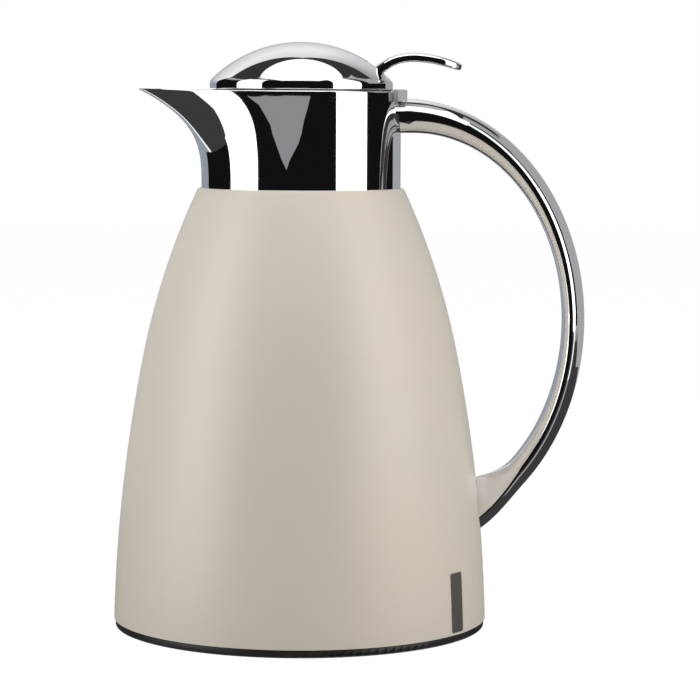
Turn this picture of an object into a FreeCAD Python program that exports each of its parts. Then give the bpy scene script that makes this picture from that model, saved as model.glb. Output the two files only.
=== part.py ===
import FreeCAD
import Part
import Sketcher
import math
import os

Vector = FreeCAD.Vector

os.makedirs("parts", exist_ok=True)
doc = FreeCAD.newDocument("thermal_carafe")

# Driving sizes in millimetres. Heights are above the table, radii from the carafe's axis.
# The spout points along -X and the handle along +X.
sizes = {
    "fit_gap": 0.2,
    "slip_gap": 0.05,
    # foot, shell and base cap
    "foot_height": 3.0,
    "foot_inset": 0.6,
    "foot_width": 9.4,
    "foot_spigot": 8.0,
    "foot_round": 0.8,
    "shell_radius": 78.0,
    "shell_height": 180.0,
    "shell_low_drop": 18.0,
    "shell_ledge": 1.4,
    "shell_wall": 0.9,
    "shell_round": 1.4,
    "cap_lift": 0.8,
    "cap_floor": 3.2,
    "cap_rim_height": 9.0,
    "cap_rim_wall": 4.0,
    "boss_radius": 30.0,
    "boss_rise": 7.0,
    "grip_border": 7.0,
    "grip_bar": 8.0,
    "grip_roof": 3.5,
    # vacuum flask
    "cushion_radius": 36.0,
    "cushion_height": 6.0,
    "cushion_hole_radius": 9.0,
    "flask_drop": 18.0,
    "flask_room": 17.0,
    "flask_wall": 1.6,
    "flask_corner": 20.0,
    "flask_shoulder_height": 48.0,
    "flask_neck_length": 19.0,
    "vacuum_gap": 4.0,
    "neck_gap": 1.0,
    "neck_step": 0.5,
    "lip_height": 2.5,
    "tip_radius": 4.0,
    "tip_length": 4.0,
    # neck
    "neck_seal_height": 2.5,
    "insert_inset": 13.9,
    "insert_wall": 3.8,
    "insert_flange_width": 2.1,
    "insert_flange_height": 2.0,
    "insert_rise": 7.0,
    "insert_lead": 1.0,
    "spigot_wall": 2.3,
    "collar_radius": 41.4,
    "collar_height": 40.0,
    "collar_wall": 1.2,
    "collar_floor": 2.0,
    "collar_floor_drop": 0.5,
    "mouth_inset": 3.2,
    "mouth_lip": 1.2,
    "spout_reach": 26.7,
    "nut_wall": 5.5,
    "nut_height": 7.0,
    "nut_notch_width": 6.0,
    "nut_notch_depth": 2.5,
    # handle
    "handle_stand": 40.6,
    "handle_side": 9.1,
    "handle_outer_inset": 35.5,
    "handle_inner_inset": 31.1,
    "handle_top_drop": 2.8,
    "handle_root_thickness": 14.2,
    "handle_width": 19.6,
    "handle_foot_width": 18.0,
    "handle_crown_radius": 14.0,
    "handle_ridge_radius": 2.0,
    "handle_foot_height": 51.8,
    "handle_foot_thickness": 22.4,
    "handle_bed": 6.0,
    "saddle_thickness": 2.6,
    "saddle_drop": 4.2,
    "saddle_rise": 0.9,
    "saddle_half_width": 18.0,
    "screw_radius": 1.9,
    "screw_head_radius": 3.6,
    "screw_head_height": 2.2,
    "screw_grip": 10.0,
    "screw_socket_radius": 1.7,
    "screw_socket_depth": 1.3,
    "root_screw_spacing": 10.0,
    # lid
    "lid_gap": 0.6,
    "lid_proud": 0.4,
    "flange_thickness": 2.8,
    "dome_rise": 20.0,
    "dome_roll_radius": 3.5,
    "dome_roll_height": 2.4,
    "dome_roll_inset": 3.12,
    "dome_wall": 0.8,
    "slot_width": 12.0,
    "slot_low": 3.9,
    "slot_high": 12.0,
    "seat_ring_wall": 2.4,
    "seat_ring_height": 1.0,
    "guide_wall": 5.0,
    "guide_drop": 18.2,
    "sleeve_drop": 6.4,
    "ear_gap": 16.0,
    "ear_thickness": 3.0,
    "ear_radius": 3.4,
    "pivot_inset": 12.6,
    "pivot_rise": 3.6,
    "pin_radius": 1.5,
    "stopper_gap": 0.6,
    "stopper_depth": 14.0,
    "stopper_seat": 3.0,
    "stopper_overlap": 2.5,
    "stopper_shoulder": 2.0,
    "stopper_tube_inset": 0.4,
    "stopper_tube_wall": 4.0,
    "seal_groove_rise": 5.0,
    "seal_groove_height": 3.0,
    "seal_groove_depth": 2.0,
    "window_rise": 5.0,
    "window_drop": 5.0,
    "carrier_screw_radius": 1.1,
    "carrier_screw_head_radius": 2.0,
    "carrier_screw_head": 1.4,
    "carrier_screw_depth": 9.0,
    # thumb lever
    "hub_radius": 3.0,
    "hub_slack": 0.6,
    "arm_thickness": 3.0,
    "arm_width": 12.0,
    "arm_end": 2.0,
    "fork_slack": 0.8,
    "fork_root_inset": 6.0,
    "lever_neck_slack": 1.0,
    "lever_taper_out": 13.0,
    "lever_neck_out": 5.8,
    "lever_neck_rise": 10.3,
    "lever_neck_slant": 2.9,
    "lever_neck_thickness": 3.3,
    "lever_hub_out": 1.3,
    "lever_hub_up": 1.8,
    "lever_peak_out": 21.5,
    "lever_peak_rise": 16.1,
    "lever_thickness": 4.1,
    "lever_tip_out": 41.8,
    "lever_tip_rise": 11.2,
    "lever_tip_slant": 0.8,
    "lever_tip_thickness": 2.9,
    "lever_tip_width": 15.0,
    "lever_round": 4.0,
    # valve
    "valve_seal_thickness": 1.2,
    "valve_seal_width": 4.0,
    "valve_seal_inset": 0.4,
    "valve_seat_step": 0.6,
    "valve_room": 4.5,
    "valve_disc_thickness": 3.0,
    "stem_radius": 2.5,
    "stem_slip": 0.1,
    "stem_cap_wall": 2.5,
    "stem_cap_height": 3.2,
    "stem_cap_gap": 0.1,
    "spring_gap": 2.2,
    "spring_wire_radius": 0.5,
}

# Counts, angles in degrees and shares, which stay as they are when the carafe is made larger.
window_count = 4
notch_count = 4
grip_count = 2
socket_sides = 6
spring_turns = 6
screw_angles = [45.0, 135.0, 225.0, 315.0]
spout_height_shares = [0.0, 0.22, 0.4, 0.55, 0.68, 0.79, 0.89, 0.96, 1.0]
spout_curve_share = 3.3
spout_draw_share = 2.9
spout_steps = 32
mouth_end_share = 0.42
waist_radius_share = 0.6392
waist_height_share = 0.6222
window_width_share = 0.83
handle_middle_share = 0.4507
crown_end_angle = 44.0
ridge_end_angle = 25.0
flank_shares = [0.97, 0.9, 0.75, 0.5, 0.25]
flank_most_share = 0.7
handle_angles = [78.0, 60.0, 42.0, 22.0, 0.0, -20.0, -38.0, -52.0]

# Smallest length that counts as one, and how closely an edge is matched.
tiny = 1e-9
match = 1e-3

sheet = doc.addObject("Spreadsheet::Sheet", "dims")
for row, (alias, number) in enumerate(sizes.items(), 1):
    sheet.set(f"A{row}", alias)
    sheet.set(f"B{row}", str(number))
    sheet.setAlias(f"B{row}", alias)
doc.recompute()


class Size:
    """A length together with the expression that ties a feature to the sheet."""

    def __init__(self, text, value):
        self.text = text
        self.value = value

    def joined(self, other, sign, value):
        return Size(f"({self.text} {sign} {as_size(other).text})", value)

    def __add__(self, other):
        return self.joined(other, "+", self.value + as_size(other).value)

    def __sub__(self, other):
        return self.joined(other, "-", self.value - as_size(other).value)

    def __mul__(self, other):
        return self.joined(other, "*", self.value * as_size(other).value)

    def __truediv__(self, other):
        return self.joined(other, "/", self.value / as_size(other).value)

    def __neg__(self):
        return Size(f"(0 - {self.text})", -self.value)

    def root(self):
        return Size(f"sqrt({self.text})", math.sqrt(self.value))


def as_size(number):
    return number if isinstance(number, Size) else Size(repr(float(number)), float(number))


class Sheet:
    """Reads a named size from the sheet."""

    def __getattr__(self, alias):
        return Size(f"dims.{alias}", float(sheet.get(alias)))


d = Sheet()
zero = as_size(0)


def half(size):
    return size / 2


def square(size):
    return size * size


def tangent_radius(run, rise):
    """Radius of the arc that starts square to run and ends run and rise away."""
    return (square(run) + square(rise)) / (run * 2)


# Sketches and features, each bound to the sheet.

def origin_plane(body, role):
    return [item for item in body.Origin.OriginFeatures if item.Role == role][0]


def new_body(label):
    body = doc.addObject("PartDesign::Body", label)
    body.Label = label
    return body


def new_sketch(body, name, role, lift=None):
    sketch = body.newObject("Sketcher::SketchObject", f"{body.Name}_{name}")
    sketch.AttachmentSupport = [(origin_plane(body, role), "")]
    sketch.MapMode = "FlatFace"
    if lift is not None:
        sketch.setExpression("AttachmentOffset.Base.z", lift.text)
    return sketch


def tie_point(sketch, geo, end, across, up):
    """Fixes a sketch point by its two distances from the sketch's origin."""
    for kind, size, axis in (("DistanceX", across, -2), ("DistanceY", up, -1)):
        if abs(size.value) < tiny:
            sketch.addConstraint(Sketcher.Constraint("PointOnObject", geo, end, axis))
        elif size.value > 0:
            rule = sketch.addConstraint(Sketcher.Constraint(kind, -1, 1, geo, end, size.value))
            sketch.setExpression(f"Constraints[{rule}]", size.text)
        else:
            rule = sketch.addConstraint(Sketcher.Constraint(kind, geo, end, -1, 1, -size.value))
            sketch.setExpression(f"Constraints[{rule}]", (-size).text)


def tie_radius(sketch, geo, radius):
    rule = sketch.addConstraint(Sketcher.Constraint("Radius", geo, radius.value))
    sketch.setExpression(f"Constraints[{rule}]", radius.text)


def arc_between(start, end, radius, side):
    """Arc from start to end whose centre lies to the left (side 1) or right (side -1)."""
    chord = end - start
    middle = (start + end) * 0.5
    left = Vector(-chord.y, chord.x, 0).normalize()
    reach = math.sqrt(max(radius * radius - chord.Length * chord.Length / 4, 0))
    centre = middle + left * (side * reach)
    first, last = (start, end) if side > 0 else (end, start)
    first_angle = math.atan2(first.y - centre.y, first.x - centre.x)
    last_angle = math.atan2(last.y - centre.y, last.x - centre.x)
    if last_angle < first_angle:
        last_angle += 2 * math.pi
    circle = Part.Circle(centre, Vector(0, 0, 1), radius)
    return Part.ArcOfCircle(circle, first_angle, last_angle)


def outline(body, name, role, corners, rounds=None, lift=None):
    """Closed outline through corners. rounds turns a side into an arc: {side: (radius, side of centre)}."""
    rounds = rounds or {}
    sketch = new_sketch(body, name, role, lift)
    corners = [(as_size(across), as_size(up)) for across, up in corners]
    points = [Vector(across.value, up.value, 0) for across, up in corners]
    starts = []
    ends = []
    for side, start in enumerate(points):
        end = points[(side + 1) % len(points)]
        if side in rounds:
            radius, turn = rounds[side]
            geo = sketch.addGeometry(arc_between(start, end, radius.value, turn))
            starts.append((geo, 1 if turn > 0 else 2))
            ends.append((geo, 2 if turn > 0 else 1))
        else:
            geo = sketch.addGeometry(Part.LineSegment(start, end))
            starts.append((geo, 1))
            ends.append((geo, 2))
    for side, start in enumerate(starts):
        sketch.addConstraint(Sketcher.Constraint("Coincident", *ends[side - 1], *start))
    for side, (across, up) in enumerate(corners):
        tie_point(sketch, *starts[side], across, up)
    for side, (radius, turn) in rounds.items():
        tie_radius(sketch, starts[side][0], radius)
    return sketch


def circle_outline(body, name, role, across, up, radius, lift=None):
    sketch = new_sketch(body, name, role, lift)
    centre = Vector(across.value, up.value, 0)
    geo = sketch.addGeometry(Part.Circle(centre, Vector(0, 0, 1), radius.value))
    tie_point(sketch, geo, 3, across, up)
    tie_radius(sketch, geo, radius)
    return sketch


def revolve(body, corners, rounds=None):
    sketch = outline(body, "profile", "XZ_Plane", corners, rounds)
    turned = body.newObject("PartDesign::Revolution", f"{body.Name}_turned")
    turned.Profile = sketch
    turned.ReferenceAxis = (sketch, ["V_Axis"])
    turned.Angle = 360
    doc.recompute()
    return turned


def pad(body, name, sketch, width):
    """Adds the sketch's shape, half of its width to each side of the sketch."""
    made = body.newObject("PartDesign::Pad", f"{body.Name}_{name}")
    made.Profile = sketch
    made.setExpression("Length", width.text)
    made.Midplane = True
    doc.recompute()
    return made


def pocket(body, name, sketch, length, reverse=False, both=False):
    """Cuts the sketch's shape and stops if nothing was cut."""
    before = body.Shape.Volume
    made = body.newObject("PartDesign::Pocket", f"{body.Name}_{name}")
    made.Profile = sketch
    made.setExpression("Length", length.text)
    made.Midplane = both
    made.Reversed = reverse
    doc.recompute()
    if made.Shape.Volume > before - match:
        raise RuntimeError(f"{made.Name} cuts nothing")
    return made


def polar(body, name, feature, sketch, axis, count):
    made = body.newObject("PartDesign::PolarPattern", f"{body.Name}_{name}")
    made.Originals = [feature]
    made.Axis = (sketch, [axis])
    made.Angle = 360
    made.Occurrences = count
    body.Tip = made
    doc.recompute()
    return made


def mirrored(body, name, features):
    made = body.newObject("PartDesign::Mirrored", f"{body.Name}_{name}")
    made.Originals = features
    made.MirrorPlane = (origin_plane(body, "XZ_Plane"), [""])
    body.Tip = made
    doc.recompute()
    return made


def round_rings(body, name, feature, rings, radius):
    """Rounds the ring-shaped edges found at the given radii and heights."""
    names = []
    for index, edge in enumerate(feature.Shape.Edges, 1):
        for across, up in rings:
            if not isinstance(edge.Curve, Part.Circle):
                continue
            if abs(edge.Curve.Radius - across.value) + abs(edge.Curve.Center.z - up.value) < match:
                names.append(f"Edge{index}")
    if len(names) < len(rings):
        raise RuntimeError(f"{body.Name} has no edge to round")
    made = body.newObject("PartDesign::Fillet", f"{body.Name}_{name}")
    made.Base = (feature, names)
    made.setExpression("Radius", radius.text)
    doc.recompute()
    return made


def round_beyond(body, name, feature, reach, longest, radius):
    """Rounds the edges, up to a length, that lie further out than reach along X."""
    names = []
    for index, edge in enumerate(feature.Shape.Edges, 1):
        if edge.CenterOfMass.x > reach.value and edge.Length < longest.value:
            names.append(f"Edge{index}")
    made = body.newObject("PartDesign::Fillet", f"{body.Name}_{name}")
    made.Base = (feature, names)
    made.setExpression("Radius", radius.text)
    doc.recompute()
    return made


def placed(item, x=zero, y=zero, z=zero, rotation=None):
    item.Placement = FreeCAD.Placement(Vector(0, 0, 0), rotation or FreeCAD.Rotation())
    for letter, size in (("x", x), ("y", y), ("z", z)):
        item.setExpression(f"Placement.Base.{letter}", as_size(size).text)
    return item


def cylinder(name, radius, height, x=zero, y=zero, z=zero, rotation=None):
    item = doc.addObject("Part::Cylinder", name)
    item.setExpression("Radius", radius.text)
    item.setExpression("Height", height.text)
    return placed(item, x, y, z, rotation)


def fuse(name, items):
    item = doc.addObject("Part::MultiFuse", name)
    item.Shapes = items
    return item


def cut(name, base, tool):
    item = doc.addObject("Part::Cut", name)
    item.Base = base
    item.Tool = tool
    return item


def compound(name, items):
    item = doc.addObject("Part::Compound", name)
    item.Links = items
    return item


def feature(label, shape):
    item = doc.addObject("Part::Feature", label)
    item.Label = label
    item.Shape = shape
    return item


along_x = FreeCAD.Rotation(Vector(0, 1, 0), 90)
along_y = FreeCAD.Rotation(Vector(1, 0, 0), -90)
down = FreeCAD.Rotation(Vector(1, 0, 0), 180)


# Shared heights and radii.

seam_height = d.foot_height + d.shell_height
rim_height = seam_height + d.collar_height
insert_top = seam_height + d.insert_rise
flange_top = rim_height + d.lid_proud
flange_bottom = flange_top - d.flange_thickness
pivot_height = flange_top + d.pivot_rise

foot_radius = d.shell_radius - d.foot_inset
foot_hole_radius = foot_radius - d.foot_width
mouth_radius = d.collar_radius - d.mouth_inset
flange_radius = mouth_radius - d.lid_gap
pivot_reach = flange_radius - d.pivot_inset
insert_bore = d.collar_radius - d.insert_inset
insert_outside = insert_bore + d.insert_wall
spigot_bore = insert_outside + d.fit_gap
spigot_radius = spigot_bore + d.spigot_wall

shell_top_radius = d.collar_radius + d.shell_ledge
shell_waist_radius = shell_top_radius + (d.shell_radius - shell_top_radius) * waist_radius_share
shell_waist_climb = d.shell_height * waist_height_share
shell_waist_height = d.foot_height + shell_waist_climb
shell_low_climb = shell_waist_climb + d.shell_low_drop
shell_low_rise = square(shell_low_climb) - square(d.shell_low_drop)
shell_low_spread = square(d.shell_radius) - square(shell_waist_radius)
shell_low_across = (shell_low_spread - shell_low_rise) / ((d.shell_radius - shell_waist_radius) * 2)
shell_low_radius = (square(d.shell_radius - shell_low_across) + square(d.shell_low_drop)).root()
waist_sine = shell_low_climb / shell_low_radius
waist_cosine = (shell_waist_radius - shell_low_across) / shell_low_radius
shell_top_run = shell_waist_radius - shell_top_radius
shell_top_climb = d.shell_height - shell_waist_climb
shell_top_bend = (shell_top_climb * waist_sine - shell_top_run * waist_cosine) * -2
shell_high_radius = (square(shell_top_run) + square(shell_top_climb)) / shell_top_bend
shell_high_across = shell_waist_radius - shell_high_radius * waist_cosine
shell_high_up = shell_waist_height - shell_high_radius * waist_sine


def shell_reach(height, inset):
    """Radius of the shell at a height below its waist, set in by inset from its outside."""
    climb = height - d.foot_height + d.shell_low_drop
    return shell_low_across + (square(shell_low_radius - inset) - square(climb)).root()


boss_height = d.cap_lift + d.cap_floor + d.boss_rise
flask_bottom = boss_height + d.cushion_height
flask_top = seam_height - d.flask_drop
flask_neck_start = flask_top - d.flask_neck_length
flask_shoulder = flask_neck_start - d.flask_shoulder_height
flask_radius = d.shell_radius - d.flask_room
inner_bulb_bore = insert_bore - d.neck_step
inner_bulb_neck = inner_bulb_bore + d.flask_wall
flask_neck_radius = inner_bulb_neck + d.neck_gap + d.flask_wall

lip_top = flask_top + d.lip_height
neck_seal_top = lip_top + d.neck_seal_height
insert_flange_top = neck_seal_top + d.insert_flange_height
collar_floor_top = insert_top - d.collar_floor_drop

cup_top = flange_top - d.sleeve_drop
guide_bottom = flange_top - d.guide_drop
guide_radius = d.stem_radius + d.guide_wall
stopper_bottom = insert_top - d.stopper_depth
stopper_radius = insert_bore - d.stopper_gap
stopper_tube_radius = stopper_radius - d.stopper_tube_inset
stopper_tube_bore = stopper_tube_radius - d.stopper_tube_wall
carrier_screw_circle = stopper_tube_radius - half(d.stopper_tube_wall)
seal_groove_radius = stopper_radius - d.seal_groove_depth
seal_groove_low = stopper_bottom + d.seal_groove_rise
seal_groove_high = seal_groove_low + d.seal_groove_height

cup_seat_top = stopper_bottom + d.stopper_seat
disc_bottom = cup_seat_top + d.valve_seal_thickness
disc_top = disc_bottom + d.valve_disc_thickness
valve_disc_radius = stopper_tube_bore - d.valve_room
valve_seal_outer = valve_disc_radius - d.valve_seal_inset
valve_seal_inner = valve_seal_outer - d.valve_seal_width
stopper_seat_radius = valve_seal_inner - d.valve_seat_step
cap_bottom = pivot_height + half(d.arm_thickness) + d.stem_cap_gap
lever_tip_reach = pivot_reach + d.lever_tip_out

handle_outer_top = rim_height - d.handle_top_drop
handle_inner_top = handle_outer_top - d.handle_root_thickness
handle_root_height = handle_outer_top - half(d.handle_root_thickness)
handle_middle = d.handle_foot_height + (handle_outer_top - d.handle_foot_height) * handle_middle_share
collar_bore = d.collar_radius - d.collar_wall
root_screw_spread = half(d.root_screw_spacing) + d.screw_head_radius
root_screw_seat = (square(collar_bore) - square(root_screw_spread)).root() - d.slip_gap
foot_screw_seat = shell_reach(d.handle_foot_height + d.screw_head_radius, d.shell_wall) - d.fit_gap


# Shell, foot and base.

def make_outer_shell():
    body = new_body("outer_shell")
    wall = d.shell_wall
    under = seam_height - wall
    hole_reach = spigot_radius + d.fit_gap * 2
    under_reach = (square(shell_high_radius - wall) - square(under - shell_high_up)).root()
    corners = [
        (d.shell_radius, d.foot_height),
        (shell_waist_radius, shell_waist_height),
        (shell_top_radius, seam_height),
        (hole_reach, seam_height),
        (hole_reach, under),
        (shell_high_across + under_reach, under),
        (shell_waist_radius - wall * waist_cosine, shell_waist_height - wall * waist_sine),
        (shell_reach(d.foot_height, wall), d.foot_height),
    ]
    rounds = {
        0: (shell_low_radius, 1),
        1: (shell_high_radius, 1),
        5: (shell_high_radius - wall, -1),
        6: (shell_low_radius - wall, -1),
    }
    skin = revolve(body, corners, rounds)
    round_rings(body, "edge", skin, [(shell_top_radius, seam_height)], d.shell_round)
    hole = circle_outline(body, "hole", "YZ_Plane", zero, d.handle_foot_height, d.screw_radius + d.fit_gap)
    pocket(body, "foot_hole", hole, d.shell_radius, reverse=True)
    return body


def make_foot_ring():
    body = new_body("foot_ring")
    top = d.foot_height + d.foot_spigot
    spigot = shell_reach(top, d.shell_wall) - d.fit_gap
    corners = [
        (foot_hole_radius, zero),
        (foot_radius, zero),
        (foot_radius, d.foot_height),
        (spigot, d.foot_height),
        (spigot, top),
        (foot_hole_radius, top),
    ]
    ring = revolve(body, corners)
    round_rings(body, "edge", ring, [(foot_radius, zero)], d.foot_round)
    return body


def make_base_cap():
    body = new_body("base_cap")
    rim = foot_hole_radius - d.fit_gap
    floor_top = d.cap_lift + d.cap_floor
    corners = [
        (zero, d.cap_lift),
        (rim, d.cap_lift),
        (rim, d.cap_rim_height),
        (rim - d.cap_rim_wall, d.cap_rim_height),
        (rim - d.cap_rim_wall, floor_top),
        (d.boss_radius, floor_top),
        (d.boss_radius, boss_height),
        (zero, boss_height),
    ]
    revolve(body, corners)
    bar = half(d.grip_bar)
    reach = d.boss_radius - d.grip_border
    chord = (square(reach) - square(bar)).root()
    moon = outline(body, "moon", "XY_Plane", [(-chord, bar), (chord, bar)], {1: (reach, 1)})
    first = pocket(body, "grip", moon, boss_height - d.grip_roof, reverse=True)
    polar(body, "grips", first, moon, "N_Axis", grip_count)
    return body


# Flask and its supports.

def make_ring(label, inner, outer, low, high):
    body = new_body(label)
    revolve(body, [(inner, low), (outer, low), (outer, high), (inner, high)])
    return body


flask_shoulder_radius = tangent_radius(
    flask_radius - flask_neck_radius, flask_neck_start - flask_shoulder
)
flask_shoulder_across = flask_radius - flask_shoulder_radius


def shoulder_height(arc_radius, across):
    """Height at which a shoulder arc reaches the given radius."""
    return flask_shoulder + (square(arc_radius) - square(across - flask_shoulder_across)).root()


def make_flask_outer_bulb():
    body = new_body("flask_outer_bulb")
    wall = d.flask_wall
    low = flask_bottom
    turn = flask_radius - d.flask_corner
    bore = flask_neck_radius - wall
    inner_shoulder = flask_shoulder_radius - wall
    corners = [
        (zero, low - d.tip_length),
        (half(d.tip_radius), low - d.tip_length),
        (d.tip_radius, low),
        (turn, low),
        (flask_radius, low + d.flask_corner),
        (flask_radius, flask_shoulder),
        (flask_neck_radius, flask_neck_start),
        (flask_neck_radius, flask_top),
        (bore, flask_top),
        (bore, shoulder_height(inner_shoulder, bore)),
        (flask_radius - wall, flask_shoulder),
        (flask_radius - wall, low + d.flask_corner),
        (turn, low + wall),
        (zero, low + wall),
    ]
    rounds = {
        3: (d.flask_corner, 1),
        5: (flask_shoulder_radius, 1),
        9: (inner_shoulder, -1),
        11: (d.flask_corner - wall, -1),
    }
    revolve(body, corners, rounds)
    return body


def make_flask_inner_bulb():
    body = new_body("flask_inner_bulb")
    wall = d.flask_wall
    inset = wall + d.vacuum_gap
    low = flask_bottom + inset
    turn = flask_radius - d.flask_corner
    round_height = flask_bottom + d.flask_corner
    outside = flask_shoulder_radius - inset
    inside = outside - wall
    corners = [
        (zero, low),
        (turn, low),
        (flask_radius - inset, round_height),
        (flask_radius - inset, flask_shoulder),
        (inner_bulb_neck, shoulder_height(outside, inner_bulb_neck)),
        (inner_bulb_neck, flask_top),
        (flask_neck_radius, flask_top),
        (flask_neck_radius, lip_top),
        (inner_bulb_bore, lip_top),
        (inner_bulb_bore, shoulder_height(inside, inner_bulb_bore)),
        (flask_radius - inset - wall, flask_shoulder),
        (flask_radius - inset - wall, round_height),
        (turn, low + wall),
        (zero, low + wall),
    ]
    corner = d.flask_corner - inset
    rounds = {1: (corner, 1), 3: (outside, 1), 9: (inside, -1), 11: (corner - wall, -1)}
    revolve(body, corners, rounds)
    return body


# Neck, collar and spout.

def make_neck_insert():
    body = new_body("neck_insert")
    bore = insert_bore
    flange = insert_outside + d.insert_flange_width
    corners = [
        (bore, neck_seal_top),
        (flange, neck_seal_top),
        (flange, insert_flange_top),
        (insert_outside, insert_flange_top),
        (insert_outside, insert_top),
        (bore + d.insert_lead, insert_top),
        (bore, insert_top - d.insert_lead),
    ]
    revolve(body, corners)
    return body


def tear_drop(height, keel, radius):
    """Level outline: a half round behind, drawn out in front in one smooth curve to the keel."""
    points = []
    for step in range(spout_steps):
        turn = math.tau * step / spout_steps
        ahead = max(-math.cos(turn), 0)
        along = radius * math.cos(turn) - (keel - radius) * ahead ** spout_draw_share
        points.append(Vector(along, radius * math.sin(turn), height))
    curve = Part.BSplineCurve()
    curve.interpolate(Points=points, PeriodicFlag=True, Parameters=list(range(spout_steps + 1)))
    return Part.Wire([curve.toShape()])


def drawn_spout(inset):
    """Solid inside the collar's skin, set in by inset, up to the rim."""
    low = seam_height.value
    high = rim_height.value
    wires = []
    for share in spout_height_shares:
        radius = d.collar_radius.value - inset
        keel = radius + d.spout_reach.value * share ** spout_curve_share
        wires.append(tear_drop(low + (high - low) * share, keel, radius))
    return Part.makeLoft(wires, True, False)


def tube(inner, outer, low, high):
    base = Vector(0, 0, low)
    return Part.makeCylinder(outer, high - low, base).cut(Part.makeCylinder(inner, high - low, base))


def screw_places():
    spacing = half(d.root_screw_spacing)
    return [-spacing, spacing]


def make_collar_spout():
    radius = d.collar_radius.value
    wall = d.collar_wall.value
    into_wall = radius - half(d.collar_wall).value
    high = rim_height.value
    floor_top = collar_floor_top.value
    floor_low = floor_top - d.collar_floor.value
    skin = drawn_spout(0).cut(drawn_spout(wall))
    floor = tube(spigot_bore.value, into_wall, floor_low, floor_top)
    spigot = tube(spigot_bore.value, spigot_radius.value, insert_flange_top.value, floor_top)
    keel = radius + d.spout_reach.value
    mouth_end = keel * mouth_end_share
    lip_low = high - d.mouth_lip.value
    corner = Vector(-mouth_end, -keel, lip_low)
    slab = Part.makeBox(keel + mouth_end, keel * 2, d.mouth_lip.value, corner)
    ring = drawn_spout(half(d.collar_wall).value).cut(drawn_spout(d.mouth_inset.value))
    shape = skin.fuse([floor, spigot, ring.common(slab)])
    for across in screw_places():
        start = Vector(0, across.value, handle_root_height.value)
        hole_radius = d.screw_radius.value + d.fit_gap.value
        shape = shape.cut(Part.makeCylinder(hole_radius, radius * 2, start, Vector(1, 0, 0)))
    return feature("collar_spout", shape.removeSplitter())


def make_collar_nut():
    body = new_body("collar_nut")
    top = seam_height - d.shell_wall
    low = top - d.nut_height
    bore = spigot_radius + d.fit_gap
    outside = bore + d.nut_wall
    corners = [(bore, low), (outside, low), (outside, top), (bore, top)]
    revolve(body, corners)
    side = half(d.nut_notch_width)
    start = outside - d.nut_notch_depth
    stop = outside + d.nut_notch_depth
    notch = outline(
        body, "notch", "XY_Plane", [(start, -side), (stop, -side), (stop, side), (start, side)]
    )
    first = pocket(body, "notch_cut", notch, seam_height, reverse=True)
    polar(body, "notches", first, notch, "N_Axis", notch_count)
    return body


# Handle and its screws.

def bow_section(outer, inner, width):
    """Closed section: crowned outer face, a small ridge each side, flanks closing to the inner edge."""
    inward = (inner - outer).normalize()
    crown = d.handle_crown_radius.value
    ridge = d.handle_ridge_radius.value
    crown_end = math.radians(crown_end_angle)
    ridge_end = math.radians(ridge_end_angle)
    face_half = crown * math.cos(crown_end)
    face_deep = crown * (1 - math.sin(crown_end))
    stretch = width / 2 / (face_half + ridge * (1 - math.cos(crown_end)))

    def on_ridge(lean):
        deep = face_deep + ridge * (math.sin(crown_end) - math.sin(lean))
        return deep, (face_half + ridge * (math.cos(lean) - math.cos(crown_end))) * stretch

    flank_deep, flank_half = on_ridge(-ridge_end)
    flank = (inner - outer).Length - flank_deep
    keen = min(flank_most_share, flank * math.tan(ridge_end) / flank_half)
    rows = [(face_deep, face_half * stretch), on_ridge(0), (flank_deep, flank_half)]
    for share in flank_shares:
        rows.append((flank_deep + flank * (1 - share ** (1 / keen)), flank_half * share))

    def place(deep, side):
        return outer + inward * deep + Vector(0, side, 0)

    left = [place(deep, side) for deep, side in rows]
    right = [place(deep, -side) for deep, side in rows]
    back = Part.BSplineCurve()
    points = left[2:] + [inner] + right[:1:-1]
    back.interpolate(Points=points, Parameters=list(range(len(points))))
    curves = [
        Part.Arc(right[0], outer, left[0]),
        Part.Arc(left[0], left[1], left[2]),
        back,
        Part.Arc(right[2], right[1], right[0]),
    ]
    return Part.Wire([curve.toShape() for curve in curves])


def handle_bar():
    middle = handle_middle.value
    width = d.handle_width.value
    foot_width = d.handle_foot_width.value
    outer_centre = (d.shell_radius - d.handle_outer_inset).value
    inner_centre = (d.shell_radius - d.handle_inner_inset).value
    outer_across = (d.handle_stand + d.handle_outer_inset).value
    inner_across = (d.handle_stand - d.handle_side + d.handle_inner_inset).value
    outer_up = handle_outer_top.value - middle
    inner_up = handle_inner_top.value - middle
    root_start = d.collar_radius.value - d.handle_bed.value
    wires = []
    for across in (root_start, d.collar_radius.value):
        top = Vector(across, 0, handle_outer_top.value)
        wires.append(bow_section(top, Vector(across, 0, handle_inner_top.value), width))
    last = handle_angles[-1]
    for angle in handle_angles:
        cosine = math.cos(math.radians(angle))
        sine = math.sin(math.radians(angle))
        outer = Vector(outer_centre + outer_across * cosine, 0, middle + outer_up * sine)
        inner = Vector(inner_centre + inner_across * cosine, 0, middle + inner_up * sine)
        blend = max(0, min(1, angle / last))
        wires.append(bow_section(outer, inner, width + (foot_width - width) * blend))
    foot_low = (d.handle_foot_height - half(d.handle_foot_thickness)).value
    foot_high = (d.handle_foot_height + half(d.handle_foot_thickness)).value
    bed = half(d.handle_bed)
    for across in (foot_screw_seat + bed, foot_screw_seat - bed):
        bottom = Vector(across.value, 0, foot_low)
        wires.append(bow_section(bottom, Vector(across.value, 0, foot_high), foot_width))
    return Part.makeLoft(wires, True, False)


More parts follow.
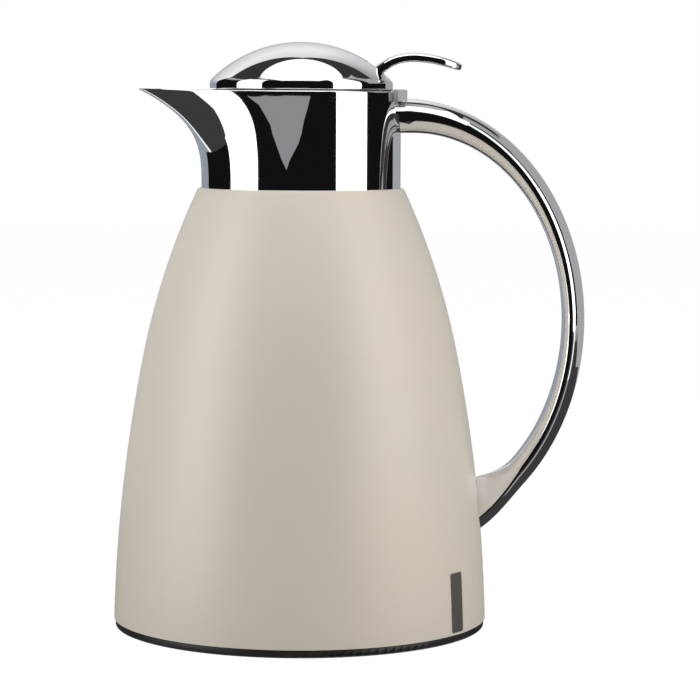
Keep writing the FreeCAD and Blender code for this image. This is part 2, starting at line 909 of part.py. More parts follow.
def shell_block():
    """Solid bounded by the outside of the shell, used to bed the handle's foot."""
    low = Vector(d.shell_radius.value, d.foot_height.value, 0)
    waist = Vector(shell_waist_radius.value, shell_waist_height.value, 0)
    high = Vector(shell_top_radius.value, seam_height.value, 0)
    curves = [
        arc_between(low, waist, shell_low_radius.value, 1),
        arc_between(waist, high, shell_high_radius.value, 1),
        Part.LineSegment(high, Vector(0, high.y, 0)),
        Part.LineSegment(Vector(0, high.y, 0), Vector(0, low.y, 0)),
        Part.LineSegment(Vector(0, low.y, 0), low),
    ]
    face = Part.Face(Part.Wire([curve.toShape() for curve in curves]))
    face.rotate(Vector(0, 0, 0), Vector(1, 0, 0), 90)
    return face.revolve(Vector(0, 0, 0), Vector(0, 0, 1), 360)


def make_handle():
    radius = d.collar_radius.value
    high = rim_height.value + d.saddle_rise.value
    outside = radius + d.saddle_thickness.value
    side = d.saddle_half_width.value
    plate = tube(radius, outside, (rim_height - d.saddle_drop).value, high)
    window = Part.makeBox(outside, side * 2, high, Vector(0, -side, 0))
    shape = handle_bar().cut(Part.makeCylinder(radius, high)).cut(shell_block())
    shape = shape.fuse(plate.common(window))
    depth = d.screw_grip.value
    hole = d.screw_radius.value + d.slip_gap.value
    axis = Vector(1, 0, 0)
    for across in screw_places():
        start = Vector(radius - depth, across.value, handle_root_height.value)
        shape = shape.cut(Part.makeCylinder(hole, depth * 2, start, axis))
    start = Vector(foot_screw_seat.value, 0, d.handle_foot_height.value)
    shape = shape.cut(Part.makeCylinder(hole, depth, start, axis))
    return feature("handle", shape.removeSplitter())


def screw(name, sizes_used, seat, x, y, z, rotation, axis):
    """Head, shank and six-sided socket. The head's underside lies at seat along the axis."""
    radius, head_radius, head, length, socket_radius, socket_depth = sizes_used
    place = {"x": x, "y": y, "z": z}
    forward = axis[1] == "+"
    letter = axis[0]

    def at(offset):
        spot = dict(place)
        spot[letter] = seat + offset if forward else seat - offset
        return spot

    shank = cylinder(f"{name}_shank", radius, length, rotation=rotation, **at(zero))
    cap = cylinder(f"{name}_head", head_radius, head, rotation=rotation, **at(-head))
    socket = doc.addObject("Part::Prism", f"{name}_socket")
    socket.Polygon = socket_sides
    socket.setExpression("Circumradius", socket_radius.text)
    socket.setExpression("Height", socket_depth.text)
    placed(socket, rotation=rotation, **at(-head))
    return cut(name, fuse(f"{name}_blank", [shank, cap]), socket)


def handle_screw_sizes():
    return (
        d.screw_radius, d.screw_head_radius, d.screw_head_height,
        d.screw_grip, d.screw_socket_radius, d.screw_socket_depth,
    )


def make_handle_root_screws():
    items = []
    for index, across in enumerate(screw_places(), 1):
        name = f"root_screw_{index}"
        items.append(screw(
            name, handle_screw_sizes(), root_screw_seat,
            zero, across, handle_root_height, along_x, "x+",
        ))
    item = compound("handle_root_screws", items)
    item.Label = "handle_root_screws"
    return item


def make_handle_foot_screw():
    item = screw(
        "handle_foot_screw", handle_screw_sizes(), foot_screw_seat,
        zero, zero, d.handle_foot_height, along_x, "x+",
    )
    item.Label = "handle_foot_screw"
    return item


# Lid: dome, carrier, stopper and pin.

dome_drop = d.dome_rise - d.dome_roll_height
dome_sphere_radius = (
    square(flange_radius - d.dome_roll_inset) + square(dome_drop) - square(d.dome_roll_radius)
) / ((dome_drop - d.dome_roll_radius) * 2)


def dome_profile(inset):
    """Rim point, joint between rolled edge and sphere, and top, all set in by inset."""
    roll_across = flange_radius - d.dome_roll_inset
    sphere_up = d.dome_rise - dome_sphere_radius
    inner = dome_sphere_radius - d.dome_roll_radius
    climb = d.dome_roll_height - sphere_up
    roll = d.dome_roll_radius - inset
    rim = roll_across + (square(roll) - square(d.dome_roll_height)).root()
    share = (dome_sphere_radius - inset) / inner
    joint = (roll_across * share, flange_top + sphere_up + climb * share)
    return (rim, flange_top), joint, (zero, flange_top + d.dome_rise - inset)


def make_lid_dome():
    body = new_body("lid_dome")
    wall = d.dome_wall
    corners = list(dome_profile(zero)) + list(reversed(dome_profile(wall)))
    rounds = {
        0: (d.dome_roll_radius, 1),
        1: (dome_sphere_radius, 1),
        3: (dome_sphere_radius - wall, -1),
        4: (d.dome_roll_radius - wall, -1),
    }
    revolve(body, corners, rounds)
    side = half(d.slot_width)
    low = flange_top + d.slot_low
    high = flange_top + d.slot_high
    slot = outline(body, "slot", "YZ_Plane", [(-side, low), (side, low), (side, high), (-side, high)])
    pocket(body, "slot_cut", slot, d.collar_radius, reverse=True)
    return body


def make_lid_carrier():
    body = new_body("lid_carrier")
    bore = d.stem_radius + d.stem_slip
    sleeve = stopper_tube_radius
    sleeve_bore = stopper_tube_bore
    ring_out = dome_profile(d.dome_wall)[0][0] - d.fit_gap
    ring_in = ring_out - d.seat_ring_wall
    ring_top = flange_top + d.seat_ring_height
    corners = [
        (bore, guide_bottom),
        (guide_radius, guide_bottom),
        (guide_radius, flange_bottom),
        (sleeve_bore, flange_bottom),
        (sleeve_bore, cup_top),
        (sleeve, cup_top),
        (sleeve, flange_bottom),
        (flange_radius, flange_bottom),
        (flange_radius, flange_top),
        (ring_out, flange_top),
        (ring_out, ring_top),
        (ring_in, ring_top),
        (ring_in, flange_top),
        (bore, flange_top),
    ]
    revolve(body, corners)
    back = pivot_reach - d.ear_radius
    front = pivot_reach + d.ear_radius
    foot = flange_top - half(d.flange_thickness)
    ear = outline(
        body, "ear", "XZ_Plane",
        [(back, foot), (front, foot), (front, pivot_height), (back, pivot_height)],
        {2: (d.ear_radius, 1)},
    )
    pad(body, "ears", ear, d.ear_gap + d.ear_thickness * 2)
    top = pivot_height + d.ear_radius * 2
    between = outline(
        body, "between", "XZ_Plane",
        [(back, flange_top), (front, flange_top), (front, top), (back, top)],
    )
    pocket(body, "ear_gap", between, d.ear_gap, both=True)
    eye = circle_outline(body, "eye", "XZ_Plane", pivot_reach, pivot_height, d.pin_radius + d.slip_gap)
    pocket(body, "pin_eyes", eye, d.ear_gap * 2, both=True)
    add_screw_holes(body, flange_top, d.flange_thickness + d.sleeve_drop)
    return body


def add_screw_holes(body, top, depth):
    angle = math.radians(screw_angles[0])
    across = carrier_screw_circle * math.cos(angle)
    up = carrier_screw_circle * math.sin(angle)
    hole = circle_outline(
        body, "screw_hole", "XY_Plane", across, up, d.carrier_screw_radius + d.slip_gap, lift=top
    )
    first = pocket(body, "screw_hole_cut", hole, depth)
    polar(body, "screw_holes", first, hole, "N_Axis", len(screw_angles))


def make_stopper_cup():
    body = new_body("stopper_cup")
    shoulder = insert_bore + d.stopper_overlap
    shoulder_top = insert_top + d.stopper_shoulder
    bore = stopper_tube_bore
    corners = [
        (stopper_seat_radius, stopper_bottom),
        (stopper_radius, stopper_bottom),
        (stopper_radius, seal_groove_low),
        (seal_groove_radius, seal_groove_low),
        (seal_groove_radius, seal_groove_high),
        (stopper_radius, seal_groove_high),
        (stopper_radius, insert_top),
        (shoulder, insert_top),
        (shoulder, shoulder_top),
        (stopper_tube_radius, shoulder_top),
        (stopper_tube_radius, cup_top),
        (bore, cup_top),
        (bore, cup_seat_top),
        (stopper_seat_radius, cup_seat_top),
    ]
    revolve(body, corners)
    side = half(stopper_tube_radius * window_width_share)
    low = insert_top + d.window_rise
    high = cup_top - d.window_drop
    window = outline(body, "window", "YZ_Plane", [(-side, low), (side, low), (side, high), (-side, high)])
    first = pocket(body, "window_cut", window, d.collar_radius)
    polar(body, "windows", first, window, "V_Axis", window_count)
    add_screw_holes(body, cup_top, d.carrier_screw_depth)
    return body


def make_carrier_screws():
    used = (
        d.carrier_screw_radius, d.carrier_screw_head_radius, d.carrier_screw_head,
        d.sleeve_drop + d.carrier_screw_depth - d.fit_gap,
        half(d.carrier_screw_head_radius), half(d.carrier_screw_head),
    )
    items = []
    for index, angle in enumerate(screw_angles, 1):
        across = carrier_screw_circle * math.cos(math.radians(angle))
        along = carrier_screw_circle * math.sin(math.radians(angle))
        items.append(screw(f"carrier_screw_{index}", used, flange_top, across, along, zero, down, "z-"))
    item = compound("carrier_screws", items)
    item.Label = "carrier_screws"
    return item


def make_lever_pin():
    length = d.ear_gap + d.ear_thickness * 2
    item = cylinder(
        "lever_pin", d.pin_radius, length,
        pivot_reach, -half(length), pivot_height, along_y,
    )
    item.Label = "lever_pin"
    return item


# Thumb lever.

def make_thumb_lever():
    body = new_body("thumb_lever")
    arm = half(d.arm_thickness)
    fork = outline(
        body, "arm", "XZ_Plane",
        [
            (-d.arm_end, pivot_height - arm),
            (pivot_reach, pivot_height - arm),
            (pivot_reach, pivot_height + arm),
            (-d.arm_end, pivot_height + arm),
        ],
    )
    pad(body, "arms", fork, d.arm_width)
    side = d.stem_radius + half(d.fork_slack)
    root = pivot_reach - d.fork_root_inset
    gap = outline(body, "fork", "XY_Plane", [(-root, -side), (root, -side), (root, side), (-root, side)])
    pocket(body, "fork_cut", gap, rim_height * 2, reverse=True)
    peak_top = flange_top + d.lever_peak_rise
    peak_low = peak_top - d.lever_thickness
    tip_top = flange_top + d.lever_tip_rise
    tip_low = tip_top - d.lever_tip_thickness
    neck_top = flange_top + d.lever_neck_rise
    neck_low = neck_top - d.lever_neck_thickness
    neck_reach = pivot_reach + d.lever_neck_out
    neck_low_reach = neck_reach + d.lever_neck_slant
    peak_reach = pivot_reach + d.lever_peak_out
    tip_low_reach = lever_tip_reach - d.lever_tip_slant
    blade = outline(
        body, "blade", "XZ_Plane",
        [
            (pivot_reach - d.lever_hub_out, pivot_height + d.lever_hub_up),
            (pivot_reach + d.lever_hub_out, pivot_height - d.lever_hub_up),
            (neck_low_reach, neck_low),
            (peak_reach, peak_low),
            (tip_low_reach, tip_low),
            (lever_tip_reach, tip_top),
            (peak_reach, peak_top),
            (neck_reach, neck_top),
        ],
        {
            2: (tangent_radius(peak_low - neck_low, peak_reach - neck_low_reach), -1),
            3: (tangent_radius(peak_low - tip_low, tip_low_reach - peak_reach), -1),
            5: (tangent_radius(peak_top - tip_top, lever_tip_reach - peak_reach), 1),
            6: (tangent_radius(peak_top - neck_top, peak_reach - neck_reach), 1),
        },
    )
    pad(body, "paddle", blade, d.lever_tip_width)
    narrow = half(d.slot_width - d.lever_neck_slack)
    wide = half(d.lever_tip_width)
    outside = d.lever_tip_width
    taper = outline(
        body, "taper", "XY_Plane",
        [
            (zero, narrow),
            (pivot_reach + d.lever_taper_out, narrow),
            (lever_tip_reach, wide),
            (lever_tip_reach, outside),
            (zero, outside),
        ],
    )
    trim = pocket(body, "taper_cut", taper, rim_height * 2, reverse=True)
    mirrored(body, "taper_pair", [trim])
    hub_width = d.ear_gap - d.hub_slack
    hub = circle_outline(body, "hub", "XZ_Plane", pivot_reach, pivot_height, d.hub_radius)
    pad(body, "hub_bar", hub, hub_width)
    eye = circle_outline(body, "eye", "XZ_Plane", pivot_reach, pivot_height, d.pin_radius + d.stem_slip)
    bored = pocket(body, "pin_eye", eye, hub_width * 2, both=True)
    round_beyond(body, "tip_corners", bored, tip_low_reach, d.lever_tip_thickness * 2, d.lever_round)
    return body


# Valve.

def make_valve_stem():
    length = cap_bottom + d.stem_cap_height - disc_bottom
    item = cylinder("valve_stem", d.stem_radius, length, z=disc_bottom)
    item.Label = "valve_stem"
    return item


def arc_piece(start, corner, end):
    """Arc from start to end whose tangents meet at corner."""
    middle = (start + end) * 0.5
    rise = corner - middle
    half_chord = (end - start).Length / 2
    lean = math.acos(half_chord / (corner - start).Length)
    crest = middle + rise.normalize() * (half_chord * math.tan(lean / 2))
    return Part.Arc(start, crest, end).toShape()


def biarc(start, start_way, end, end_way):
    """Two arcs that join start to end along the given directions."""
    span = end - start
    both = start_way + end_way
    spread = 1 - start_way.dot(end_way)
    along = span.dot(both)
    reach = (math.sqrt(along * along + 2 * spread * span.dot(span)) - along) / (2 * spread)
    first = start + start_way * reach
    second = end - end_way * reach
    joint = (first + second) * 0.5
    return [arc_piece(start, first, joint), arc_piece(joint, second, end)]


def make_valve_spring():
    wire = d.spring_wire_radius.value
    radius = (d.stem_radius + d.spring_gap + d.spring_wire_radius).value
    clear = d.fit_gap.value + wire
    low = disc_top.value + clear
    rise = guide_bottom.value - clear - low
    steps = spring_turns * 4
    climb = rise / (2 * math.pi * spring_turns)
    points = []
    ways = []
    for step in range(steps + 1):
        angle = step * math.pi / 2
        cosine = math.cos(angle)
        sine = math.sin(angle)
        points.append(Vector(radius * cosine, radius * sine, low + climb * angle))
        ways.append(Vector(-radius * sine, radius * cosine, climb).normalize())
    edges = []
    for step in range(steps):
        edges += biarc(points[step], ways[step], points[step + 1], ways[step + 1])
    path = Part.Wire(edges)
    ring = Part.Wire([Part.Circle(points[0], ways[0], wire).toShape()])
    pipe = Part.BRepOffsetAPI.MakePipeShell(path)
    pipe.add(ring)
    pipe.build()
    pipe.makeSolid()
    print("valve_spring least gap between turns, mm:", round(rise / spring_turns - 2 * wire, 3))
    return feature("valve_spring", pipe.shape())


pieces = [
    make_outer_shell(),
    make_foot_ring(),
    make_base_cap(),
    make_ring("flask_cushion", d.cushion_hole_radius, d.cushion_radius, boss_height, flask_bottom),
    make_flask_outer_bulb(),
    make_flask_inner_bulb(),
    make_ring("neck_seal", inner_bulb_bore, flask_neck_radius, lip_top, neck_seal_top),
    make_neck_insert(),
    make_collar_spout(),
    make_collar_nut(),
    make_handle(),
    make_handle_root_screws(),
    make_handle_foot_screw(),
    make_lid_dome(),
    make_lid_carrier(),
    make_stopper_cup(),
    make_ring(
        "stopper_seal", seal_groove_radius + d.slip_gap, insert_bore - d.stem_slip,
        seal_groove_low + d.slip_gap, seal_groove_high - d.slip_gap,
    ),
    make_carrier_screws(),
    make_lever_pin(),
    make_thumb_lever(),
    make_valve_stem(),
    make_ring("valve_disc", d.stem_radius + d.slip_gap, valve_disc_radius, disc_bottom, disc_top),
    make_ring("valve_seal", valve_seal_inner, valve_seal_outer, cup_seat_top, disc_bottom),
    make_ring(
        "stem_cap", d.stem_radius + d.slip_gap, d.stem_radius + d.stem_cap_wall,
        cap_bottom, cap_bottom + d.stem_cap_height,
    ),
    make_valve_spring(),
]

doc.recompute()
for item in doc.Objects:
    if "Invalid" in item.State or "Error" in item.State:
        raise RuntimeError(f"{item.Name} failed: {item.State}")
for piece in pieces:
    if piece.Shape.isNull() or not piece.Shape.isValid():
        raise RuntimeError(f"{piece.Label} has no valid shape")
    piece.Shape.exportStep(f"parts/{piece.Label}.step")
    print(piece.Label, len(piece.Shape.Solids), round(piece.Shape.Volume, 1), piece.Shape.BoundBox)
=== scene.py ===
import bpy
import math
from mathutils import Matrix, Vector


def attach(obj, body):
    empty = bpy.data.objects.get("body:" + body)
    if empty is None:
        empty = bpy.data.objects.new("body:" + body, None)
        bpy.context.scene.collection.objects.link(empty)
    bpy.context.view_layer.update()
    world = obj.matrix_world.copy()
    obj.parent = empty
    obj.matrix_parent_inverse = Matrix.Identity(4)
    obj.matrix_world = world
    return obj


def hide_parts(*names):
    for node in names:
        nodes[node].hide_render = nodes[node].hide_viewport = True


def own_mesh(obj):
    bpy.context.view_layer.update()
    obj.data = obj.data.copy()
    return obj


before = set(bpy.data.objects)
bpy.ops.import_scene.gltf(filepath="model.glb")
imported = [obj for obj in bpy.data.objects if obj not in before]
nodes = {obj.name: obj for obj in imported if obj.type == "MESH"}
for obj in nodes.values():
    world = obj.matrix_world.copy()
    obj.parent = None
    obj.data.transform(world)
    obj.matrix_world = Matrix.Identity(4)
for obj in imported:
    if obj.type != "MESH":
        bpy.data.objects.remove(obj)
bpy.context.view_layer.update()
mm = 0.001
scene = bpy.context.scene
scene.view_settings.view_transform = "Standard"
print("frame loaded,", len(nodes), "nodes")


# shader sums

class Sock:
    def __init__(self, owner, socket):
        self.owner = owner
        self.socket = socket

    def maths(self, operation, other):
        return self.owner.node("ShaderNodeMath", {"operation": operation}, {0: self, 1: other})

    def __add__(self, other):
        return self.maths("ADD", other)

    def __mul__(self, other):
        return self.maths("MULTIPLY", other)

    # sums and products are the same from either side
    __radd__ = __add__
    __rmul__ = __mul__


class Finish:
    def __init__(self, owner):
        self.made = owner
        self.tree = owner.node_tree

    def node(self, kind, settings=None, sockets=None, output=0):
        item = self.tree.nodes.new(kind)
        for key, value in (settings or {}).items():
            if key == "stops":
                ramp = item.color_ramp
                for index, (spot, colour) in enumerate(value):
                    stop = ramp.elements[index] if index < 2 else ramp.elements.new(spot)
                    stop.position = spot
                    stop.color = colour
            else:
                setattr(item, key, value)
        for key, value in (sockets or {}).items():
            self.feed(item.inputs[key], value)
        return Sock(self, item.outputs[output])

    def feed(self, entry, value):
        if isinstance(value, Sock):
            self.tree.links.new(value.socket, entry)
        else:
            entry.default_value = value

    def shade(self, **values):
        shader = self.tree.nodes["Principled BSDF"]
        for key, value in values.items():
            self.feed(shader.inputs[key.replace("_", " ")], value)

    # for a finish without the usual shader
    def show(self, shader):
        self.feed(self.tree.nodes["Material Output"].inputs["Surface"], shader)

    def place(self):
        return self.node("ShaderNodeTexCoord", output="Object")

    def stretched(self, spot, scale):
        return self.node("ShaderNodeMapping", None, {"Vector": spot, "Scale": scale})

    def noise(self, spot, scale, detail):
        sockets = {"Vector": spot, "Scale": scale, "Detail": detail}
        return self.node("ShaderNodeTexNoise", None, sockets)

    def blend(self, factor, first, second):
        sockets = {0: factor, 6: first, 7: second}
        return self.node("ShaderNodeMix", {"data_type": "RGBA"}, sockets, output=2)

    def ramp(self, factor, low, high):
        sockets = {"Value": factor, "From Min": low, "From Max": high}
        return self.node("ShaderNodeMapRange", {"clamp": True}, sockets)

    def bump(self, height, strength, distance):
        sockets = {"Height": height, "Strength": strength, "Distance": distance}
        return self.node("ShaderNodeBump", None, sockets)


def newFinish(name, usual=True):
    made = bpy.data.materials.new(name)
    made.use_nodes = True
    f = Finish(made)
    if not usual:
        f.tree.nodes.remove(f.tree.nodes["Principled BSDF"])
    return f


def grey(level):
    return (level, level, level, 1.0)


# finishes: a noise is given by scale and detail, a span by its ends, a bump by strength and depth

lacquer = {
    "colour": (0.662, 0.608, 0.528, 1.0), "warm": (0.688, 0.624, 0.534, 1.0),
    "cloud": (9.0, 3.0), "cloudSpan": (0.35, 0.65),
    "fleck": (0.78, 0.74, 0.68, 1.0),
    "flake": (5200.0, 1.0), "flakeSpan": (0.60, 0.80), "flakeShare": 0.06,
    "peel": (420.0, 2.0), "peelBump": (0.04, 0.0003),
    "metal": 0.12, "rough": 0.46, "roughSpread": 0.05, "ior": 1.48,
}


def makeLacquer():
    f = newFinish("creamLacquer")
    spot = f.place()
    cloud = f.noise(spot, *lacquer["cloud"])
    flake = f.noise(spot, *lacquer["flake"])
    peel = f.noise(spot, *lacquer["peel"])
    tint = f.blend(f.ramp(cloud, *lacquer["cloudSpan"]), lacquer["colour"], lacquer["warm"])
    flecks = f.ramp(flake, *lacquer["flakeSpan"]) * lacquer["flakeShare"]
    spread = lacquer["roughSpread"]
    f.shade(
        Base_Color=f.blend(flecks, tint, lacquer["fleck"]),
        Metallic=lacquer["metal"],
        Roughness=cloud * spread + flake * spread + (lacquer["rough"] - spread),
        Normal=f.bump(peel, *lacquer["peelBump"]),
        IOR=lacquer["ior"],
    )
    return f.made


chrome = {
    "colour": (0.880, 0.885, 0.895, 1.0), "dull": (0.820, 0.828, 0.842, 1.0), "rough": 0.030,
    "haze": (34.0, 4.0), "hazeSpan": (0.48, 0.76), "hazeTint": 0.5, "hazeRough": 0.025,
    "wipe": (60.0, 60.0, 900.0),  # rubbed round the axis
    "rub": (1.0, 2.0), "rubSpan": (0.55, 0.80), "rubTint": 0.15, "rubRough": 0.012,
    "wave": (16.0, 1.0), "waveBump": (0.010, 0.0010),
}


def makeChrome():
    f = newFinish("brightChrome")
    spot = f.place()
    haze = f.ramp(f.noise(spot, *chrome["haze"]), *chrome["hazeSpan"])
    wiped = f.stretched(spot, chrome["wipe"])
    rub = f.ramp(f.noise(wiped, *chrome["rub"]), *chrome["rubSpan"])
    worn = haze * chrome["hazeTint"] + rub * chrome["rubTint"]
    f.shade(
        Base_Color=f.blend(worn, chrome["colour"], chrome["dull"]),
        Metallic=1.0,
        Roughness=haze * chrome["hazeRough"] + rub * chrome["rubRough"] + chrome["rough"],
        Normal=f.bump(f.noise(spot, *chrome["wave"]), *chrome["waveBump"]),
    )
    return f.made


satin = {
    "pale": (0.56, 0.565, 0.575, 1.0), "dull": (0.50, 0.505, 0.52, 1.0),
    "cloud": (260.0, 3.0), "cloudBump": (0.03, 0.0003),
    "metal": 0.45, "rough": 0.42, "roughSpread": 0.10,
}


def makeSatin():
    f = newFinish("satinChrome")
    cloud = f.noise(f.place(), *satin["cloud"])
    f.shade(
        Base_Color=f.blend(cloud, satin["pale"], satin["dull"]),
        Metallic=satin["metal"],
        Roughness=cloud * satin["roughSpread"] + satin["rough"],
        Normal=f.bump(cloud, *satin["cloudBump"]),
    )
    return f.made


moulding = {"cloud": (45.0, 3.0), "cloudSpan": (0.35, 0.70), "roughSpread": 0.12, "ior": 1.49}

plastics = {
    "blackPlastic": {
        "colour": (0.016, 0.016, 0.017, 1.0), "pale": (0.028, 0.028, 0.029, 1.0),
        "rough": 0.38, "grain": 2400.0, "grainBump": (0.18, 0.00012),
    },
    "darkRubber": {
        "colour": (0.022, 0.021, 0.020, 1.0), "pale": (0.040, 0.038, 0.036, 1.0),
        "rough": 0.68, "grain": 1500.0, "grainBump": (0.18, 0.00020),
    },
}


def makePlastic(name):
    look = plastics[name]
    f = newFinish(name)
    spot = f.place()
    cells = f.node(
        "ShaderNodeTexVoronoi", {"feature": "SMOOTH_F1"}, {"Vector": spot, "Scale": look["grain"]},
    )
    cloud = f.noise(spot, *moulding["cloud"])
    spread = moulding["roughSpread"]
    f.shade(
        Base_Color=f.blend(f.ramp(cloud, *moulding["cloudSpan"]), look["colour"], look["pale"]),
        Roughness=cloud * spread + (look["rough"] - spread / 2),
        Normal=f.bump(cells, *look["grainBump"]),
        IOR=moulding["ior"],
    )
    return f.made


brushed = {
    "plainSteel": {
        "dark": (0.52, 0.52, 0.53, 1.0), "pale": (0.68, 0.68, 0.69, 1.0), "metal": 1.0,
        "wipe": (900.0, 900.0, 5000.0), "lines": (1.0, 2.0), "linesBump": (0.05, 0.0001),
        "rough": 0.18, "roughSpread": 0.16,
    },
    "barePlate": {
        "dark": (0.100, 0.096, 0.080, 1.0), "pale": (0.140, 0.134, 0.112, 1.0), "metal": 0.35,
        "wipe": (700.0, 700.0, 9000.0), "lines": (1.0, 2.0), "linesBump": (0.08, 0.0001),
        "rough": 0.36, "roughSpread": 0.14,
    },
}


def makeBrushed(name):
    look = brushed[name]
    f = newFinish(name)
    lines = f.noise(f.stretched(f.place(), look["wipe"]), *look["lines"])
    f.shade(
        Base_Color=f.blend(lines, look["dark"], look["pale"]),
        Metallic=look["metal"],
        Roughness=lines * look["roughSpread"] + look["rough"],
        Normal=f.bump(lines, *look["linesBump"]),
    )
    return f.made


silvered = {
    "colour": (0.84, 0.84, 0.83, 1.0), "dull": (0.76, 0.77, 0.78, 1.0),
    "cloud": (22.0, 3.0), "cloudSpan": (0.3, 0.7), "cloudBump": (0.04, 0.002),
    "rough": 0.04, "roughSpread": 0.06, "coatRough": 0.02,
}


def makeSilvered():
    f = newFinish("silveredGlass")
    cloud = f.noise(f.place(), *silvered["cloud"])
    dulled = f.ramp(cloud, *silvered["cloudSpan"])
    f.shade(
        Base_Color=f.blend(dulled, silvered["colour"], silvered["dull"]),
        Metallic=1.0,
        Roughness=cloud * silvered["roughSpread"] + silvered["rough"],
        Coat_Weight=1.0,
        Coat_Roughness=silvered["coatRough"],
        Normal=f.bump(cloud, *silvered["cloudBump"]),
    )
    return f.made


finishes = {
    "cream_lacquer": makeLacquer(),
    "bright_chrome": makeChrome(),
    "black_plastic": makePlastic("blackPlastic"),
    "dark_rubber": makePlastic("darkRubber"),
    "silvered_glass": makeSilvered(),
    "plain_steel": makeBrushed("plainSteel"),
}
plateFinish = makeBrushed("barePlate")
satinFinish = makeSatin()
print("finishes made:", len(finishes) + 2)


# modelling helpers

def deselectAll():
    if bpy.context.object and bpy.context.object.mode != "OBJECT":
        bpy.ops.object.mode_set(mode="OBJECT")
    bpy.ops.object.select_all(action="DESELECT")


def pick(piece):
    deselectAll()
    piece.select_set(True)
    bpy.context.view_layer.objects.active = piece


# names the primitive that was just added
def startPiece(name):
    piece = bpy.context.object
    piece.name = name
    piece.data.name = name
    return piece


def smooth(angle):
    bpy.ops.object.shade_smooth_by_angle(angle=math.radians(angle))


def breakEdges(piece, width, segments, sharp=30.0):
    bevel = piece.modifiers.new("edge", "BEVEL")
    bevel.width = width * mm
    bevel.segments = segments
    bevel.limit_method = "ANGLE"
    bevel.angle_limit = math.radians(sharp)
    bpy.ops.object.modifier_apply(modifier=bevel.name)


def closePiece(piece, angle, merge=0.000002):
    bpy.ops.object.mode_set(mode="EDIT")
    bpy.ops.mesh.select_all(action="SELECT")
    bpy.ops.mesh.remove_doubles(threshold=merge)
    bpy.ops.mesh.normals_make_consistent(inside=False)
    bpy.ops.object.mode_set(mode="OBJECT")
    smooth(angle)
    return piece


def joinTo(main, others):
    pick(main)
    for part in others:
        part.select_set(True)
    bpy.ops.object.join()


def dress(piece, body, slot, *stoodFor, finish=None):
    if finish or not piece.data.materials:
        piece.data.materials.clear()
        piece.data.materials.append(finish or finishes[slot])
    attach(piece, body)
    if stoodFor:
        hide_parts(*stoodFor)
    return piece


# a single point is drawn out along a profile, and the line is spun round the axis
def lathe(name, points, steps, angle):
    deselectAll()
    bpy.ops.mesh.primitive_plane_add(size=0.01, location=(0, 0, 0))
    piece = startPiece(name)
    bpy.ops.object.mode_set(mode="EDIT")
    bpy.ops.mesh.select_all(action="SELECT")
    bpy.ops.mesh.merge(type="CENTER")
    bpy.ops.transform.translate(value=(points[0][0], 0, points[0][1]))
    for before, after in zip(points, points[1:]):
        step = (after[0] - before[0], 0, after[1] - before[1])
        bpy.ops.mesh.extrude_vertices_move(TRANSFORM_OT_translate={"value": step})
    bpy.ops.mesh.select_all(action="SELECT")
    bpy.ops.mesh.spin(steps=steps, angle=2 * math.pi, center=(0, 0, 0), axis=(0, 0, 1))
    return closePiece(piece, angle)


# a ring is drawn out row by row, then each row goes to its place
def ringTube(name, rows, count, place, angle, caps=False):
    deselectAll()
    bpy.ops.mesh.primitive_circle_add(vertices=count, radius=1.0, fill_type="NOTHING")
    piece = startPiece(name)
    bpy.ops.object.mode_set(mode="EDIT")
    bpy.ops.mesh.select_all(action="SELECT")
    for row in range(rows - 1):
        bpy.ops.mesh.extrude_region_move(TRANSFORM_OT_translate={"value": (0, 0, 1)})
    bpy.ops.object.mode_set(mode="OBJECT")
    for point in piece.data.vertices:
        turn = math.atan2(point.co.y, point.co.x)
        point.co = place(round(point.co.z), turn)
    if caps:
        bpy.ops.object.mode_set(mode="EDIT")
        bpy.ops.mesh.select_all(action="DESELECT")
        bpy.ops.mesh.select_mode(type="EDGE")
        bpy.ops.mesh.select_non_manifold(extend=False)
        bpy.ops.mesh.fill_holes(sides=0)
        bpy.ops.mesh.select_mode(type="VERT")
        bpy.ops.object.mode_set(mode="OBJECT")
    return closePiece(piece, angle)


def turned(way, angle):
    return Vector((
        way.x * math.cos(angle) - way.y * math.sin(angle),
        way.x * math.sin(angle) + way.y * math.cos(angle),
    ))


# points of the arc that leaves start along way and ends at end, and its last direction
def arcTo(start, way, end, count):
    start, way, end = Vector(start), Vector(way).normalized(), Vector(end)
    chord = end - start
    bend = math.atan2(way.x * chord.y - way.y * chord.x, way.dot(chord))
    points = []
    for index in range(1, count + 1):
        share = index / count
        run = share if abs(bend) < 1e-6 else math.sin(bend * share) / math.sin(bend)
        points.append(start + turned(way, bend * share) * (chord.length * run))
    return points, turned(way, 2 * bend)


def offsetLine(points, inset):
    made = []
    for index, point in enumerate(points):
        ahead = points[min(index + 1, len(points) - 1)] - points[max(index - 1, 0)]
        ahead.normalize()
        made.append(point + Vector((-ahead.y, ahead.x)) * inset)
    return made


def hermite(start, startWay, end, endWay, share):
    a = 2 * share ** 3 - 3 * share ** 2 + 1
    b = share ** 3 - 2 * share ** 2 + share
    c = -2 * share ** 3 + 3 * share ** 2
    e = share ** 3 - share ** 2
    return start * a + startWay * b + end * c + endWay * e


# shell

shell = {
    "footRadius": 78.0, "footHeight": 3.4, "lean": 0.0273,  # the wall leans in from the foot
    "waistRadius": 65.3, "waistHeight": 115.0,
    "topRadius": 42.8, "topHeight": 183.0,
    "wall": 0.9, "edge": 1.4, "edgeSteps": 8, "hole": 34.2,
    "outerGap": 0.4, "innerGap": 0.5, "innerStep": 0.4,  # room left at the top corner
    "points": 30, "finePoints": 60, "steps": 192, "smooth": 35.0,
}


def shellLine(count):
    low = Vector((shell["footRadius"], shell["footHeight"]))
    waist = Vector((shell["waistRadius"], shell["waistHeight"]))
    top = Vector((shell["topRadius"], shell["topHeight"]))
    first, way = arcTo(low, (-shell["lean"], 1), waist, count)
    second, way = arcTo(waist, way, top, count)
    return [low] + first + second, way


